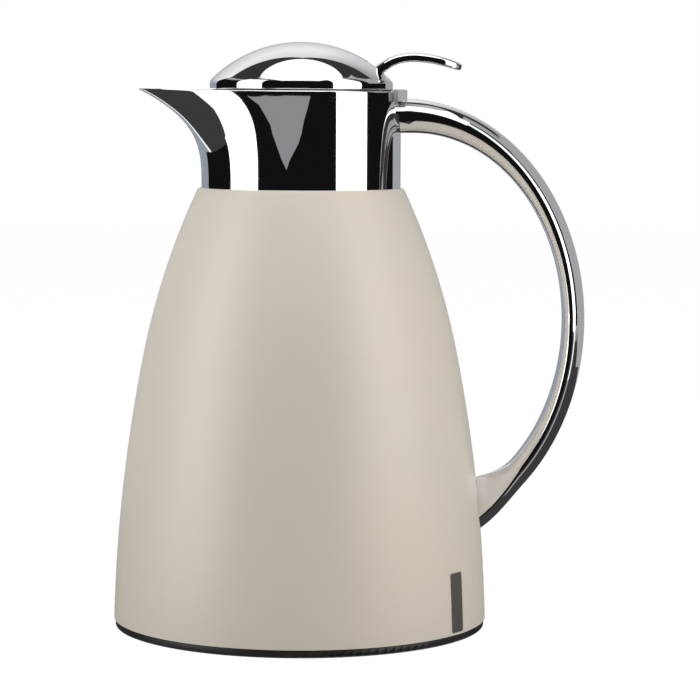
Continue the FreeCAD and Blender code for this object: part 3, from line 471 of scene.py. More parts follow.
def shellRadius(height):
    line, way = shellLine(shell["finePoints"])
    for below, above in zip(line, line[1:]):
        if below.y <= height <= above.y:
            return below.x + (above.x - below.x) * (height - below.y) / (above.y - below.y)
    return line[-1].x


def makeShell():
    line, way = shellLine(shell["points"])
    edge, hole, top = shell["edge"], shell["hole"], shell["topHeight"]
    under = top - shell["wall"]
    # the corner is rounded between the slope and the level top
    start = line[-1] - way * (edge * (1 + way.x) / way.y)
    centre = start + Vector((-way.y, way.x)) * edge
    lean = math.atan2(start.y - centre.y, start.x - centre.x)
    corner = []
    for index in range(shell["edgeSteps"] + 1):
        spot = lean + (math.pi / 2 - lean) * index / shell["edgeSteps"]
        corner.append(centre + Vector((math.cos(spot), math.sin(spot))) * edge)
    outer = [point for point in line if point.y < start.y - shell["outerGap"]]
    inner = offsetLine(line, shell["wall"])
    inner = [point for point in inner if point.y < under - shell["innerGap"]]
    profile = outer + corner + [Vector((hole, top)), Vector((hole, under))]
    profile += [Vector((inner[-1].x - shell["innerStep"], under))] + list(reversed(inner))
    profile.append(profile[0].copy())
    points = [point * mm for point in profile]
    piece = lathe("carafeShell", points, shell["steps"], shell["smooth"])
    return dress(piece, "carafe", "cream_lacquer", "outer_shell")


makeShell()
print("shell made")

plate = {
    "turn": 56.4, "width": 8.2, "low": 4.4, "high": 28.6, "corner": 0.7,
    "lift": 0.02, "thick": 0.22, "edge": 0.08, "edgeSteps": 2,
    "cutsAcross": 14, "cutsUp": 26, "merge": 0.000001, "smooth": 35.0,
}


# bare strip low on the shell, bent to its curve
def makePlate():
    deselectAll()
    bpy.ops.mesh.primitive_grid_add(
        x_subdivisions=plate["cutsAcross"], y_subdivisions=plate["cutsUp"], size=2.0,
    )
    piece = startPiece("shellPlate")
    half = plate["width"] / 2
    middle = (plate["low"] + plate["high"]) / 2
    rise = (plate["high"] - plate["low"]) / 2
    corner = plate["corner"]
    for point in piece.data.vertices:
        across = point.co.x * half
        up = point.co.y * rise
        # corners pulled in to a small round
        overX = max(abs(across) - (half - corner), 0.0)
        overY = max(abs(up) - (rise - corner), 0.0)
        reach = math.hypot(overX, overY)
        if reach > corner:
            across -= math.copysign(overX * (1 - corner / reach), across)
            up -= math.copysign(overY * (1 - corner / reach), up)
        height = middle + up
        radius = shellRadius(height) + plate["lift"]
        turn = math.radians(plate["turn"]) + across / radius
        point.co = Vector((radius * math.sin(turn), -radius * math.cos(turn), height)) * mm
    wall = piece.modifiers.new("wall", "SOLIDIFY")
    wall.thickness = plate["thick"] * mm
    wall.offset = 1.0
    bpy.ops.object.modifier_apply(modifier=wall.name)
    breakEdges(piece, plate["edge"], plate["edgeSteps"])
    closePiece(piece, plate["smooth"], plate["merge"])
    return dress(piece, "carafe", "black_plastic", finish=plateFinish)


makePlate()
print("strip made")


# collar with its spout

collar = {
    "radius": 41.4, "low": 183.0, "high": 223.0, "wall": 1.2,
    "reach": 26.7, "climb": 3.3, "draw": 2.9,  # spout: length, powers upwards and round the front
    "rise": 0.9, "riseClimb": 4, "riseFront": 3,  # its tip stands a little higher
    "rim": 0.55, "rimSteps": 5,
    # inside the rim: drop, step out from the wall, share of the ledge
    "lip": [
        (0.0, 0.2, 0.9), (0.06, 0.06, 1.0), (0.2, 0.0, 1.0), (1.1, 0.0, 1.0), (1.3, 0.0, 0.0),
    ],
    "ledge": 2.0, "ledgeFront": 0.72, "ledgeFade": 0.16,  # fades out where the spout begins
    "floor": 189.5, "under": 187.5, "bore": 31.5, "spigot": 33.8, "foot": 172.0,
    "count": 224, "rows": 34, "crowd": 1.35, "innerRows": 18, "smooth": 38.0,
}


# a level outline: round at the back, drawn out towards the spout at the front
def collarPoint(turn, height, inset):
    share = (height - collar["low"]) / (collar["high"] - collar["low"])
    share = min(max(share, 0.0), 1.0)
    draw = collar["reach"] * share ** collar["climb"]
    radius = collar["radius"]
    x = radius * math.cos(turn)
    y = radius * math.sin(turn)
    front = max(-math.cos(turn), 0.0)
    x -= draw * front ** collar["draw"]
    if inset:
        slopeX = -radius * math.sin(turn)
        if front:
            slopeX -= draw * collar["draw"] * front ** (collar["draw"] - 1) * math.sin(turn)
        slopeY = radius * math.cos(turn)
        length = math.hypot(slopeX, slopeY)
        x -= slopeY / length * inset
        y += slopeX / length * inset
    return x, y


# rows from the shell up, over the rim and down inside: height, inset, share of the ledge
def collarRows():
    low, high = collar["low"], collar["high"]
    rim, wall = collar["rim"], collar["wall"]
    rows = []
    for index in range(collar["rows"] + 1):
        share = 1 - (1 - index / collar["rows"]) ** collar["crowd"]
        rows.append((low + (high - rim - low) * share, 0.0, 0.0))
    for index in range(1, collar["rimSteps"] + 1):
        spot = math.pi / 2 * index / collar["rimSteps"]
        rows.append((high - rim + rim * math.sin(spot), rim - rim * math.cos(spot), 0.0))
    for drop, step, ledge in collar["lip"]:
        rows.append((high - drop, wall - step, ledge))
    lipEnd = rows[-1][0]
    for index in range(1, collar["innerRows"] + 1):
        share = index / collar["innerRows"]
        rows.append((lipEnd - (lipEnd - collar["floor"]) * share, wall, 0.0))
    return rows


def makeCollar():
    rows = collarRows()
    inside = collar["radius"] - collar["wall"]
    rounds = [
        (collar["bore"], collar["floor"]), (collar["bore"], collar["foot"]),
        (collar["spigot"], collar["foot"]), (collar["spigot"], collar["under"]),
        (inside, collar["under"]), (inside, collar["low"]),
    ]
    total = len(rows) + len(rounds) + 1

    def place(row, turn):
        if row == total - 1:  # the last row closes on the first
            row = 0
        if row >= len(rows):
            radius, height = rounds[row - len(rows)]
            return Vector((radius * math.cos(turn), radius * math.sin(turn), height)) * mm
        height, inset, ledge = rows[row]
        x, y = collarPoint(turn, height, inset)
        front = max(-math.cos(turn), 0.0)
        if ledge:
            keep = min(max((collar["ledgeFront"] - front) / collar["ledgeFade"], 0.0), 1.0)
            keep = keep * keep * (3 - 2 * keep) * ledge * collar["ledge"]
            x -= math.cos(turn) * keep
            y -= math.sin(turn) * keep
        climb = max(height - collar["low"], 0.0) / (collar["high"] - collar["low"])
        lift = collar["rise"] * climb ** collar["riseClimb"] * front ** collar["riseFront"]
        return Vector((x, y, height + lift)) * mm

    piece = ringTube("spoutCollar", total, collar["count"], place, collar["smooth"])
    return dress(piece, "carafe", "bright_chrome", "collar_spout")


makeCollar()
print("collar made")


# handle

handle = {
    "middle": 127.7, "width": 19.6,
    "outerCentre": 42.5, "outerReach": 118.6, "outerTop": 220.2,
    "innerCentre": 46.9, "innerReach": 109.5, "innerTop": 206.0,
    "rootStart": 39.6, "rootSteps": 6, "lastAngle": -47.0, "steps": 96,
    "footOuter": (74.6, 39.7), "footOuterWay": (-0.84, -0.54),
    "footInner": (74.0, 62.2), "footInnerWay": (-0.96, -0.28),
    "footWidth": 18.0, "footSteps": 30,
    # arcs of the section: radius, lean at the end, share of the round at the end
    "crown": 14.0, "crownEnd": 44.0, "crownShare": 0.28,
    "bevel": 3.6, "bevelEnd": 24.0, "bevelShare": 0.42,
    "ridge": 1.6, "ridgeEnd": -25.0, "ridgeShare": 0.64,
    "flankMost": 0.7, "count": 144, "smooth": 50.0,
}


def handleEllipse(angle, side):
    centre = handle[side + "Centre"]
    across = handle[side + "Reach"] - centre
    up = handle[side + "Top"] - handle["middle"]
    spot = Vector((centre + across * math.cos(angle), handle["middle"] + up * math.sin(angle)))
    way = Vector((across * math.sin(angle), -up * math.cos(angle)))
    return spot, way


# the last stretch runs from the ellipse to the foot on the shell
def handleFoot(side, share):
    start, way = handleEllipse(math.radians(handle["lastAngle"]), side)
    end = Vector(handle["foot" + side.title()])
    length = (end - start).length
    endWay = Vector(handle["foot" + side.title() + "Way"]) * length
    return hermite(start, way.normalized() * length, end, endWay, share)


# outer point, inner point and width of each section, from the root to the foot
def handleSections():
    sections = []
    for index in range(handle["rootSteps"]):
        share = index / handle["rootSteps"]
        across = handle["rootStart"] + (handle["outerCentre"] - handle["rootStart"]) * share
        lean = (handle["innerCentre"] - handle["outerCentre"]) * share
        outer = Vector((across, handle["outerTop"]))
        inner = Vector((across + lean, handle["innerTop"]))
        sections.append((outer, inner, handle["width"]))
    last = math.radians(handle["lastAngle"])
    for index in range(handle["steps"] + 1):
        angle = math.pi / 2 + (last - math.pi / 2) * index / handle["steps"]
        narrow = max(angle / last, 0.0)
        width = handle["width"] + (handle["footWidth"] - handle["width"]) * narrow
        outer = handleEllipse(angle, "outer")[0]
        inner = handleEllipse(angle, "inner")[0]
        sections.append((outer, inner, width))
    for index in range(1, handle["footSteps"] + 1):
        share = index / handle["footSteps"]
        outer = handleFoot("outer", share)
        inner = handleFoot("inner", share)
        sections.append((outer, inner, handle["footWidth"]))
    return sections


# crowned outer face, a soft bevel and a small ridge at each side, and closing flanks
def handleSection(turn, thick, width):
    share = abs(turn) / math.pi
    spans = []
    deep, wide, lean = 0.0, 0.0, math.pi / 2
    for name in ("crown", "bevel", "ridge"):
        end = math.radians(handle[name + "End"])
        spans.append((handle[name], deep, wide, lean, end))
        deep += handle[name] * (math.sin(lean) - math.sin(end))
        wide += handle[name] * (math.cos(end) - math.cos(lean))
        lean = end
    radius, startDeep, startWide, startLean, end = spans[-1]
    stretch = width / 2 / (startWide + radius * (1 - math.cos(startLean)))
    limits = [0.0, handle["crownShare"], handle["bevelShare"], handle["ridgeShare"]]
    for index, (radius, startDeep, startWide, startLean, end) in enumerate(spans):
        if share < limits[index + 1]:
            run = (share - limits[index]) / (limits[index + 1] - limits[index])
            spot = startLean + (end - startLean) * run
            depth = startDeep + radius * (math.sin(startLean) - math.sin(spot))
            side = startWide + radius * (math.cos(spot) - math.cos(startLean))
            return depth, math.copysign(side * stretch, turn)
    flank = thick - deep
    keen = min(handle["flankMost"], flank * math.tan(-lean) / (wide * stretch))
    left = max(math.cos((share - limits[-1]) / (1 - limits[-1]) * math.pi / 2), 0.0)
    return deep + flank * (1 - left ** (1 / keen)), math.copysign(wide * stretch * left, turn)


saddle = {
    "inside": 41.42, "outside": 44.0, "low": 218.8, "high": 223.9, "half": 18.0,
    "edge": 0.45, "edgeSteps": 4, "cuts": 24, "smooth": 40.0,
}


# curved plate that joins the handle's root to the collar's rim
def makeSaddle():
    deselectAll()
    bpy.ops.mesh.primitive_cube_add(size=2.0)
    piece = startPiece("handleSaddle")
    bpy.ops.object.mode_set(mode="EDIT")
    for cut in range(saddle["cuts"]):
        share = -1 + 2 * (cut + 1) / (saddle["cuts"] + 1)
        bpy.ops.mesh.select_all(action="SELECT")
        bpy.ops.mesh.bisect(plane_co=(0, share, 0), plane_no=(0, 1, 0))
    bpy.ops.object.mode_set(mode="OBJECT")
    reach = math.asin(saddle["half"] / saddle["outside"])
    for point in piece.data.vertices:
        radius = saddle["outside"] if point.co.x > 0 else saddle["inside"]
        height = saddle["high"] if point.co.z > 0 else saddle["low"]
        turn = reach * point.co.y
        point.co = Vector((radius * math.cos(turn), radius * math.sin(turn), height)) * mm
    breakEdges(piece, saddle["edge"], saddle["edgeSteps"])
    return closePiece(piece, saddle["smooth"])


def makeHandle():
    sections = handleSections()

    def place(row, turn):
        outer, inner, width = sections[row]
        inward = inner - outer
        depth, side = handleSection(turn, inward.length, width)
        spot = outer + inward.normalized() * depth
        return Vector((spot.x, side, spot.y)) * mm

    bow = ringTube(
        "carafeHandle", len(sections), handle["count"], place, handle["smooth"], caps=True,
    )
    bow.data.materials.append(finishes["bright_chrome"])
    rimPlate = makeSaddle()
    rimPlate.data.materials.append(satinFinish)
    joinTo(bow, [rimPlate])
    return dress(bow, "carafe", "bright_chrome", "handle")


makeHandle()
print("handle made")


# lid

dome = {
    "base": 223.4, "rise": 20.0, "sphere": 52.708, "wall": 0.8, "capSteps": 40,
    "roll": 3.5, "rollUp": 2.4, "rollAcross": 34.48, "rollSteps": 12,
    "footEdge": 0.6, "footSteps": 5, "footHold": 0.12,  # hold: lines that keep the foot flat
    "slotWidth": 12.0, "slotLow": 3.9, "slotHigh": 12.0, "slotLength": 40.0, "slotMiddle": 32.0,
    "steps": 192, "smooth": 35.0,
}


def domeLine(inset):
    base = dome["base"]
    across = dome["rollAcross"]
    roll = dome["roll"] - inset
    rollUp = base + dome["rollUp"]
    sphere = dome["sphere"] - inset
    centreUp = dome["rise"] - dome["sphere"]
    joint = math.atan2(dome["rollUp"] - centreUp, across)
    # an upright foot stands under the roll, its outer edge broken
    side = across + roll
    points = [Vector((side, base))]
    if not inset:
        edge, hold = dome["footEdge"], dome["footHold"]
        points = []
        for index in range(dome["footSteps"] + 1):
            spot = math.pi / 2 * index / dome["footSteps"]
            points.append(Vector((
                side - edge + edge * math.sin(spot), base + edge - edge * math.cos(spot),
            )))
        points.append(Vector((side, base + edge + hold)))
        points.append(Vector((side, rollUp - hold)))
    for index in range(dome["rollSteps"] + 1):
        spot = joint * index / dome["rollSteps"]
        points.append(Vector((across + roll * math.cos(spot), rollUp + roll * math.sin(spot))))
    for index in range(1, dome["capSteps"] + 1):
        spot = joint + (math.pi / 2 - joint) * index / dome["capSteps"]
        height = base + centreUp + sphere * math.sin(spot)
        points.append(Vector((sphere * math.cos(spot), height)))
    points[-1].x = 0.0
    return points


def makeDome():
    profile = domeLine(0.0) + list(reversed(domeLine(dome["wall"])))
    profile.append(profile[0].copy())
    points = [point * mm for point in profile]
    piece = lathe("lidDome", points, dome["steps"], dome["smooth"])
    deselectAll()
    bpy.ops.mesh.primitive_cube_add(size=1.0)
    cutter = startPiece("slotCutter")
    tall = dome["slotHigh"] - dome["slotLow"]
    middle = (dome["slotLow"] + dome["slotHigh"]) / 2 + dome["base"]
    bpy.ops.transform.resize(
        value=(dome["slotLength"] * mm, dome["slotWidth"] * mm, tall * mm),
    )
    bpy.ops.transform.translate(value=(dome["slotMiddle"] * mm, 0, middle * mm))
    bpy.ops.object.transform_apply(location=True, rotation=True, scale=True)
    pick(piece)
    slot = piece.modifiers.new("slot", "BOOLEAN")
    slot.object = cutter
    slot.operation = "DIFFERENCE"
    slot.solver = "EXACT"
    bpy.ops.object.modifier_apply(modifier=slot.name)
    bpy.data.objects.remove(cutter)
    smooth(dome["smooth"])
    return dress(piece, "lid", "bright_chrome", "lid_dome")


makeDome()
print("dome made")


# thumb lever

lever = {
    "base": 223.4,
    "top": [
        (23.7, 5.4), (27.2, 7.6), (30.8, 10.3), (36.0, 13.6), (41.0, 15.2), (46.5, 15.8),
        (53.0, 15.2), (60.0, 13.7), (66.8, 11.2),
    ],
    "low": [
        (26.3, 1.8), (30.0, 4.2), (33.7, 7.0), (37.4, 9.8), (41.6, 11.5), (46.5, 12.0),
        (52.7, 11.6), (59.4, 10.2), (66.0, 8.3),
    ],
    "neck": 11.0, "tip": 15.0, "taper": 38.0, "round": 12.5, "pointed": 0.8,
    "squareTop": 3.2, "squareLow": 8.0,  # softer edges above than below
    "endPitch": 14, "endThick": 0.55,  # the last fourteenth grows thinner
    "rows": 120, "count": 96, "smooth": 80.0,
    "pivot": (25.0, 227.0), "hubRadius": 3.0, "hubLength": 15.4, "hubSides": 48,
    "armSize": (27.0, 3.1, 3.0), "armMiddle": 11.5, "armApart": 4.45,
    "edge": 0.35, "edgeSteps": 3, "edgeSmooth": 40.0,
}


def curveThrough(points, share):
    spans = len(points) - 1
    spot = min(max(share, 0.0), 1.0) * spans
    index = min(int(spot), spans - 1)
    here, ahead = Vector(points[index]), Vector(points[index + 1])
    before = Vector(points[max(index - 1, 0)])
    after = Vector(points[min(index + 2, spans)])
    return hermite(here, (ahead - before) / 2, ahead, (after - here) / 2, spot - index)


def makeBlade():
    last = lever["top"][-1][0]

    def place(row, turn):
        share = row / (lever["rows"] - 1)
        top = curveThrough(lever["top"], share)
        low = curveThrough(lever["low"], share)
        middle = (top + low) / 2
        out = min(max((middle.x - lever["taper"]) / (last - lever["taper"]), 0.0), 1.0)
        half = (lever["neck"] + (lever["tip"] - lever["neck"]) * out) / 2
        # the tip narrows to a soft point, seen from above
        over = max(middle.x - (last - lever["round"]), 0.0) / lever["round"]
        half *= max(1 - over ** 2, 0.0) ** lever["pointed"]
        end = min(1.0, (1 - share) * lever["endPitch"])
        thin = lever["endThick"]
        thick = math.sqrt(1 - (1 - end) ** 2) * (1 - thin) + thin
        power = 2 / (lever["squareTop"] if math.sin(turn) > 0 else lever["squareLow"])
        up = math.copysign(abs(math.sin(turn)) ** power, math.sin(turn)) * thick
        side = math.copysign(abs(math.cos(turn)) ** power, math.cos(turn))
        spot = middle + (top - low) / 2 * up
        return Vector((spot.x, half * side, spot.y + lever["base"])) * mm

    return ringTube(
        "thumbLever", lever["rows"], lever["count"], place, lever["smooth"], caps=True,
    )


def makeLever():
    blade = makeBlade()
    x, z = lever["pivot"]
    deselectAll()
    bpy.ops.mesh.primitive_cylinder_add(
        vertices=lever["hubSides"], radius=lever["hubRadius"] * mm, depth=lever["hubLength"] * mm,
        location=(x * mm, 0, z * mm), rotation=(math.pi / 2, 0, 0),
    )
    parts = [startPiece("leverHub")]
    # the fork's two arms reach in to the stem cap
    for side in (-1, 1):
        deselectAll()
        bpy.ops.mesh.primitive_cube_add(size=1.0)
        parts.append(startPiece("leverArm"))
        bpy.ops.transform.resize(value=[size * mm for size in lever["armSize"]])
        bpy.ops.transform.translate(
            value=(lever["armMiddle"] * mm, side * lever["armApart"] * mm, z * mm),
        )
    for part in parts:
        pick(part)
        bpy.ops.object.transform_apply(location=True, rotation=True, scale=True)
        breakEdges(part, lever["edge"], lever["edgeSteps"])
        smooth(lever["edgeSmooth"])
    joinTo(blade, parts)
    return dress(blade, "lever", "bright_chrome", "thumb_lever")


makeLever()
print("lever made")


# turned and moulded parts: each a merged copy of its solid, with its edges broken

moulded = {  # body, slot, width of the broken edges
    "foot_ring": ("carafe", "black_plastic", 0.5),
    "base_cap": ("carafe", "black_plastic", 0.4),
    "flask_cushion": ("carafe", "dark_rubber", 0.4),
    "flask_outer_bulb": ("carafe", "silvered_glass", 0.0),
    "flask_inner_bulb": ("carafe", "silvered_glass", 0.0),
    "neck_seal": ("carafe", "dark_rubber", 0.3),
    "neck_insert": ("carafe", "black_plastic", 0.3),
    "collar_nut": ("carafe", "black_plastic", 0.3),
    "handle_root_screws": ("carafe", "plain_steel", 0.15),
    "handle_foot_screw": ("carafe", "plain_steel", 0.15),
    "lid_carrier": ("lid", "black_plastic", 0.3),
    "stopper_cup": ("lid", "black_plastic", 0.3),
    "stopper_seal": ("lid", "dark_rubber", 0.5),
    "carrier_screws": ("lid", "plain_steel", 0.12),
    "lever_pin": ("lid", "plain_steel", 0.2),
    "valve_spring": ("lid", "plain_steel", 0.0),
    "valve_stem": ("valve", "plain_steel", 0.3),
    "valve_disc": ("valve", "black_plastic", 0.3),
    "valve_seal": ("valve", "dark_rubber", 0.2),
    "stem_cap": ("valve", "plain_steel", 0.3),
}
mouldedEdge = {"merge": 0.00001, "sharp": 32.0, "steps": 2, "smooth": 40.0}


def makeMoulded(name, body, slot, edge):
    piece = nodes[name].copy()
    piece.data = nodes[name].data.copy()
    piece.parent = None
    for key in list(piece.keys()):
        if key.startswith("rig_"):
            del piece[key]
    piece.name = name.replace("_", "-") + "-finished"
    scene.collection.objects.link(piece)
    pick(piece)
    closePiece(piece, mouldedEdge["sharp"], mouldedEdge["merge"])
    if edge:
        breakEdges(piece, edge, mouldedEdge["steps"], mouldedEdge["sharp"])
        smooth(mouldedEdge["smooth"])
    return dress(piece, body, slot, name, finish=finishes[slot])


finished = {name: makeMoulded(name, *look) for name, look in moulded.items()}
print("moulded parts made:", len(moulded))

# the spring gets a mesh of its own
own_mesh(finished["valve_spring"])


# stage: floor, softboxes and panels that only polished surfaces see

# angles are counted from the front, to the right
def towards(angle, distance, height):
    turn = math.radians(angle)
    return Vector((math.sin(turn) * distance, -math.cos(turn) * distance, height))


def upright(fromAngle, toAngle, distance, low, high):
    return [
        towards(fromAngle, distance, low), towards(toAngle, distance, low),
        towards(toAngle, distance, high), towards(fromAngle, distance, high),
    ]


def flat(height, *corners):  # corners by x and y
    return [(x, y, height) for x, y in corners]


def fan(height, *corners):  # corners by angle and distance
    return [towards(angle, distance, height) for angle, distance in corners]


def curved(distance, *corners):  # corners by angle and height
    return [towards(angle, distance, height) for angle, height in corners]


stage = {
    "soft": 1.25, "fill": 0.44, "side": 1.5,  # levels of softboxes, world and side fills
    "floorSize": 8.0, "floorGrey": 0.50, "floorGlow": 1.08, "floorShown": 0.9,
    "ceiling": 1.50, "panelTop": 1.52,
    "table": 0.0004, "tableEdge": 0.0005, "tableDark": 0.0006, "tableFront": 0.0009,
    "tableFan": 0.0012,  # layers on the table
    # height of the panels that paint shade and a highlight into the reflections under the saddle
    "notch": 0.2186,
    "wallRise": 3.5, "wallTurn": (0.25, 1.0), "wallSide": (0.385, 0.39, 0.40, 1.0),
    "wall": [
        (0.06, (0.30, 0.335, 0.385, 1.0)), (0.13, (0.40, 0.43, 0.46, 1.0)),
        (0.23, (0.68, 0.69, 0.70, 1.0)), (0.45, (0.93, 0.93, 0.93, 1.0)),
        (1.0, (0.68, 0.68, 0.68, 1.0)),
    ],
}

tones = {
    "darkPanel": grey(0.006), "tablePanel": grey(0.045), "sidePanel": grey(0.40),
    # the bluish grey on the next line is painted reflection for the collar's front
    "paintedWedgeGrey": (0.285, 0.285, 0.296, 1.0), "palePanel": grey(1.15),
    "ceilingPanel": grey(0.036), "greyTable": stage["wall"][0][1],
}

softboxes = {
    "softboxLeft": {
        "spot": towards(-67.0, 1.05, 0.66), "aim": (0, 0, 0.66), "width": 0.70, "height": 1.30,
    },
    "softboxRight": {
        "spot": towards(61.0, 1.05, 0.66), "aim": (0, 0, 0.66), "width": 0.76, "height": 1.30,
    },
    "softboxTop": {
        "spot": (0, 0.12, 1.46), "aim": (0, 0.12, 0), "width": 1.22, "height": 1.05,
        "shape": "ELLIPSE",
    },
    "softboxFront": {
        "spot": (0, -0.72, 1.47), "aim": (0, -0.72, 0), "width": 1.50, "height": 1.68,
    },
    "fillLeft": {
        "spot": towards(-98.0, 1.0, 0.30), "aim": (0, 0, 0.14), "width": 0.8, "height": 0.58,
        "level": stage["side"], "mirrored": False,
    },
    "fillRight": {
        "spot": towards(98.0, 1.0, 0.30), "aim": (0, 0, 0.14), "width": 0.8, "height": 0.58,
        "level": stage["side"], "mirrored": False,
    },
}

panels = {
    # walls in front and at the sides
    "darkFront0": ("darkPanel", upright(-49, -20, 1.9, 0.0, stage["panelTop"])),
    "darkFront1": ("darkPanel", upright(-20, 12, 1.9, 0.0, stage["panelTop"])),
    "darkFront2": ("darkPanel", upright(12, 41, 1.9, 0.0, stage["panelTop"])),
    "darkEdge": ("darkPanel", upright(81, 94, 1.5, 0.0, stage["panelTop"])),
    "darkSide0": ("darkPanel", upright(-132, -109, 1.5, 0.0, 1.1)),
    "greySide0": ("sidePanel", upright(-132, -109, 1.5, 1.1, stage["panelTop"])),
    "darkSide1": ("darkPanel", upright(-109, -86, 1.5, 0.0, 1.1)),
    "greySide1": ("sidePanel", upright(-109, -86, 1.5, 1.1, stage["panelTop"])),
    "darkSide2": ("darkPanel", upright(94, 113, 1.5, 0.0, 0.42)),
    "greySide2": ("sidePanel", upright(94, 113, 1.5, 0.42, stage["panelTop"])),
    "darkSide3": ("darkPanel", upright(113, 132, 1.5, 0.0, 0.42)),
    "greySide3": ("sidePanel", upright(113, 132, 1.5, 0.42, stage["panelTop"])),
    # closes the gap between two softboxes; the grey flag stands close behind the handle and paints
    # a grey reflection on it
    "paleCorner": ("palePanel", [
        (0.733, -0.843, 1.31), (1.103, -0.175, 1.31), (0.75, -0.03, 1.47), (0.75, -0.843, 1.47),
    ]),
    "paintedReflectionFlag": ("sidePanel", [
        (0.135, -0.0070, 0.122), (0.135, 0.0010, 0.104), (0.135, 0.060, 0.104),
        (0.135, 0.060, 0.172), (0.135, -0.0070, 0.172),
    ]),
    # ceiling and backdrop
    "darkTop": ("ceilingPanel", flat(
        stage["ceiling"], (-2.4, -2.2), (2.4, -2.2), (2.4, 0.30), (0.68, 0.09), (0.68, 0.60),
        (1.2, 0.66), (1.2, 1.31), (0.50, 0.96), (0.0, 0.735), (-0.50, 0.96), (-2.4, 1.9),
    )),
    "greyTop": ("sidePanel", flat(
        stage["ceiling"], (0.68, 0.09), (2.6, 0.324), (2.6, 1.6), (1.2, 1.6), (1.2, 0.66),
        (0.68, 0.60),
    )),
    "wallBack": ("wallPanel", [
        (-2.6, 1.6, 0), (2.6, 1.6, 0), (2.6, 1.6, 3.6), (-2.6, 1.6, 3.6),
    ]),
    # table
    "greyTableLeft": ("greyTable", flat(
        stage["table"], (-2.6, -2.2), (0.0, -2.2), (0.0, 1.6), (-2.6, 1.6),
    )),
    "greyTableRight": ("sidePanel", flat(
        stage["table"], (0.0, -2.2), (2.6, -2.2), (2.6, 1.6), (0.0, 1.6),
    )),
    "darkTable": ("tablePanel", flat(
        stage["tableDark"], (-1.8, -2.2), (0.9, -2.2), (0.9, 0.0), (0.42, 0.42), (-1.8, 0.75),
    )),
    "paleEdge": ("palePanel", flat(
        stage["tableEdge"], (0.0, 0.484), (0.0, 0.56), (-1.8, 0.87), (-1.8, 0.75),
    )),
    "darkTableFront": ("darkPanel", fan(
        stage["tableFront"], (0, 0.03), (41, 1.9), (-4, 2.6), (-49, 1.9),
    )),
    "paleTable": ("palePanel", fan(
        stage["tableFan"], (-48.5, 0.235), (-48.5, 1.4), (-85, 1.4), (-75, 0.5), (-75, 0.235),
    )),
    "paleTableRight": ("palePanel", fan(
        stage["tableFan"], (66, 0.45), (66, 1.15), (80, 1.15), (80, 0.45),
    )),
    "greyTableLine": ("sidePanel", fan(
        stage["tableFan"], (68, 0.15), (66, 0.45), (80, 0.45), (80, 0.15),
    )),
    "darkTableRight": ("tablePanel", fan(
        stage["tableFan"], (92, 0.38), (92, 1.3), (128, 1.3), (128, 0.38),
    )),
    # painted reflection just below the saddle's near end, seen only in the handle root's
    # reflections: the dark panel paints shade under the saddle and the pale one a highlight, so
    # that the bands on the root run on under it
    "paintedHighlightNotch": ("palePanel", flat(
        stage["notch"], (0.036, -0.0133), (0.0465, -0.0133), (0.0465, -0.0085), (0.036, -0.0085),
    )),
    "paintedShadeNotch": ("darkPanel", flat(
        stage["notch"], (0.036, -0.0195), (0.0465, -0.0195), (0.0465, -0.0133), (0.036, -0.0133),
    )),
    # painted reflection: a grey wedge close in front of the collar, which only its polished front
    # sees
    "paintedReflectionWedge": ("paintedWedgeGrey", curved(
        0.08, (8.7, 0.2211), (6.2, 0.2159), (3.3, 0.2110), (1.3, 0.2056), (-1.2, 0.2015),
        (-8.6, 0.1944), (-11.1, 0.1904), (-15.4, 0.1948), (-22.8, 0.2050), (-24.2, 0.2085),
        (-31.3, 0.2154), (-36.4, 0.2162), (-25.8, 0.2200), (-11.8, 0.2212),
    )),
}


def glowMaterial(name, colour):
    f = newFinish(name, usual=False)
    f.show(f.node("ShaderNodeEmission", None, {"Color": colour, "Strength": 1.0}))
    return f.made


# the backdrop grows lighter from the table upwards
def wallMaterial():
    f = newFinish("wallPanel", usual=False)
    up = f.node("ShaderNodeSeparateXYZ", None, {"Vector": f.place()}, output="Z")
    across = f.node("ShaderNodeSeparateXYZ", None, {"Vector": f.place()}, output="X")
    rise = f.ramp(up, 0.0, stage["wallRise"])
    shades = f.node("ShaderNodeValToRGB", {"stops": stage["wall"]}, {"Fac": rise})
    shades = f.blend(f.ramp(across, *stage["wallTurn"]), shades, stage["wallSide"])
    f.show(f.node("ShaderNodeEmission", None, {"Color": shades, "Strength": 1.0}))
    return f.made


# one where the camera, a mirror or glass looks, and nought for light that falls on the object
def seenRays(f):
    path = f.node("ShaderNodeLightPath", output="Is Camera Ray")
    ways = path.socket.node.outputs
    return path + Sock(f, ways["Is Glossy Ray"]) + Sock(f, ways["Is Transmission Ray"])


def floorMaterial():
    f = newFinish("paleFloor", usual=False)
    shown = f.ramp(seenRays(f), 0.0, 1.0) * stage["floorShown"]
    plain = f.node("ShaderNodeBsdfDiffuse", None, {"Color": grey(stage["floorGrey"])})
    light = {"Color": grey(1.0), "Strength": stage["floorGlow"]}
    glow = f.node("ShaderNodeEmission", None, light)
    f.show(f.node("ShaderNodeMixShader", None, {"Fac": shown, 1: plain, 2: glow}))
    return f.made


def makeFloor():
    deselectAll()
    bpy.ops.mesh.primitive_plane_add(size=stage["floorSize"], location=(0, 0, 0))
    floor = startPiece("floor")
    floor.data.materials.append(floorMaterial())


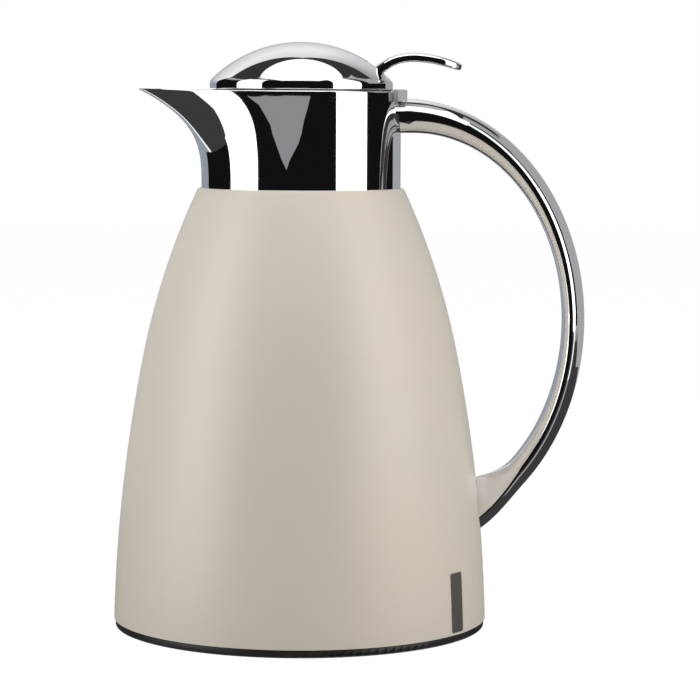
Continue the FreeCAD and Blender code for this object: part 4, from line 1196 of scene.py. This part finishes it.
def makeWorld():
    world = bpy.data.worlds.new("studio")
    scene.world = world
    world.use_nodes = True
    f = Finish(world)
    sockets = {"Value": seenRays(f), "To Min": stage["fill"], "To Max": 1.0}
    level = f.node("ShaderNodeMapRange", {"clamp": True}, sockets)
    f.feed(f.tree.nodes["Background"].inputs["Strength"], level)
    f.feed(f.tree.nodes["Background"].inputs["Color"], grey(1.0))


def makeSoftbox(
    name, spot, aim, width, height, level=stage["soft"], shape="RECTANGLE", mirrored=True,
):
    lamp = bpy.data.lights.new(name, "AREA")
    lamp.shape = shape
    lamp.size = width
    lamp.size_y = height
    area = width * height * (math.pi / 4 if shape == "ELLIPSE" else 1.0)
    lamp.energy = level * math.pi * area
    item = bpy.data.objects.new(name, lamp)
    item.location = spot
    item.rotation_euler = (Vector(aim) - Vector(spot)).to_track_quat("-Z", "Y").to_euler()
    item.visible_glossy = mirrored
    scene.collection.objects.link(item)


def makePanel(name, corners, material):
    mesh = bpy.data.meshes.new(name)
    mesh.from_pydata([tuple(corner) for corner in corners], [], [list(range(len(corners)))])
    panel = bpy.data.objects.new(name, mesh)
    panel.data.materials.append(material)
    panel.visible_camera = False
    panel.visible_diffuse = False
    panel.visible_shadow = False
    scene.collection.objects.link(panel)


def makeStage():
    makeFloor()
    makeWorld()
    glows = {name: glowMaterial(name, colour) for name, colour in tones.items()}
    glows["wallPanel"] = wallMaterial()
    for name, box in softboxes.items():
        makeSoftbox(name, **box)
    for name, (tone, corners) in panels.items():
        makePanel(name, corners, glows[tone])


makeStage()
print("stage made")


# camera

view = {
    "spot": (0.0207, -1.122, 0.2130), "down": 4.973, "roll": 0.27,
    "lens": 138.4, "sensor": 36.0, "near": 0.01, "far": 50.0,
}


def makeCamera():
    lens = bpy.data.cameras.new("photoCamera")
    lens.lens = view["lens"]
    lens.sensor_width = view["sensor"]
    lens.clip_start = view["near"]
    lens.clip_end = view["far"]
    camera = bpy.data.objects.new("photoCamera", lens)
    tilt = Matrix.Rotation(math.radians(90.0 - view["down"]), 4, "X")
    roll = Matrix.Rotation(math.radians(view["roll"]), 4, "Z")
    camera.matrix_world = Matrix.Translation(view["spot"]) @ (tilt @ roll)
    scene.collection.objects.link(camera)
    scene.camera = camera


makeCamera()

deselectAll()
print("pieces ready")
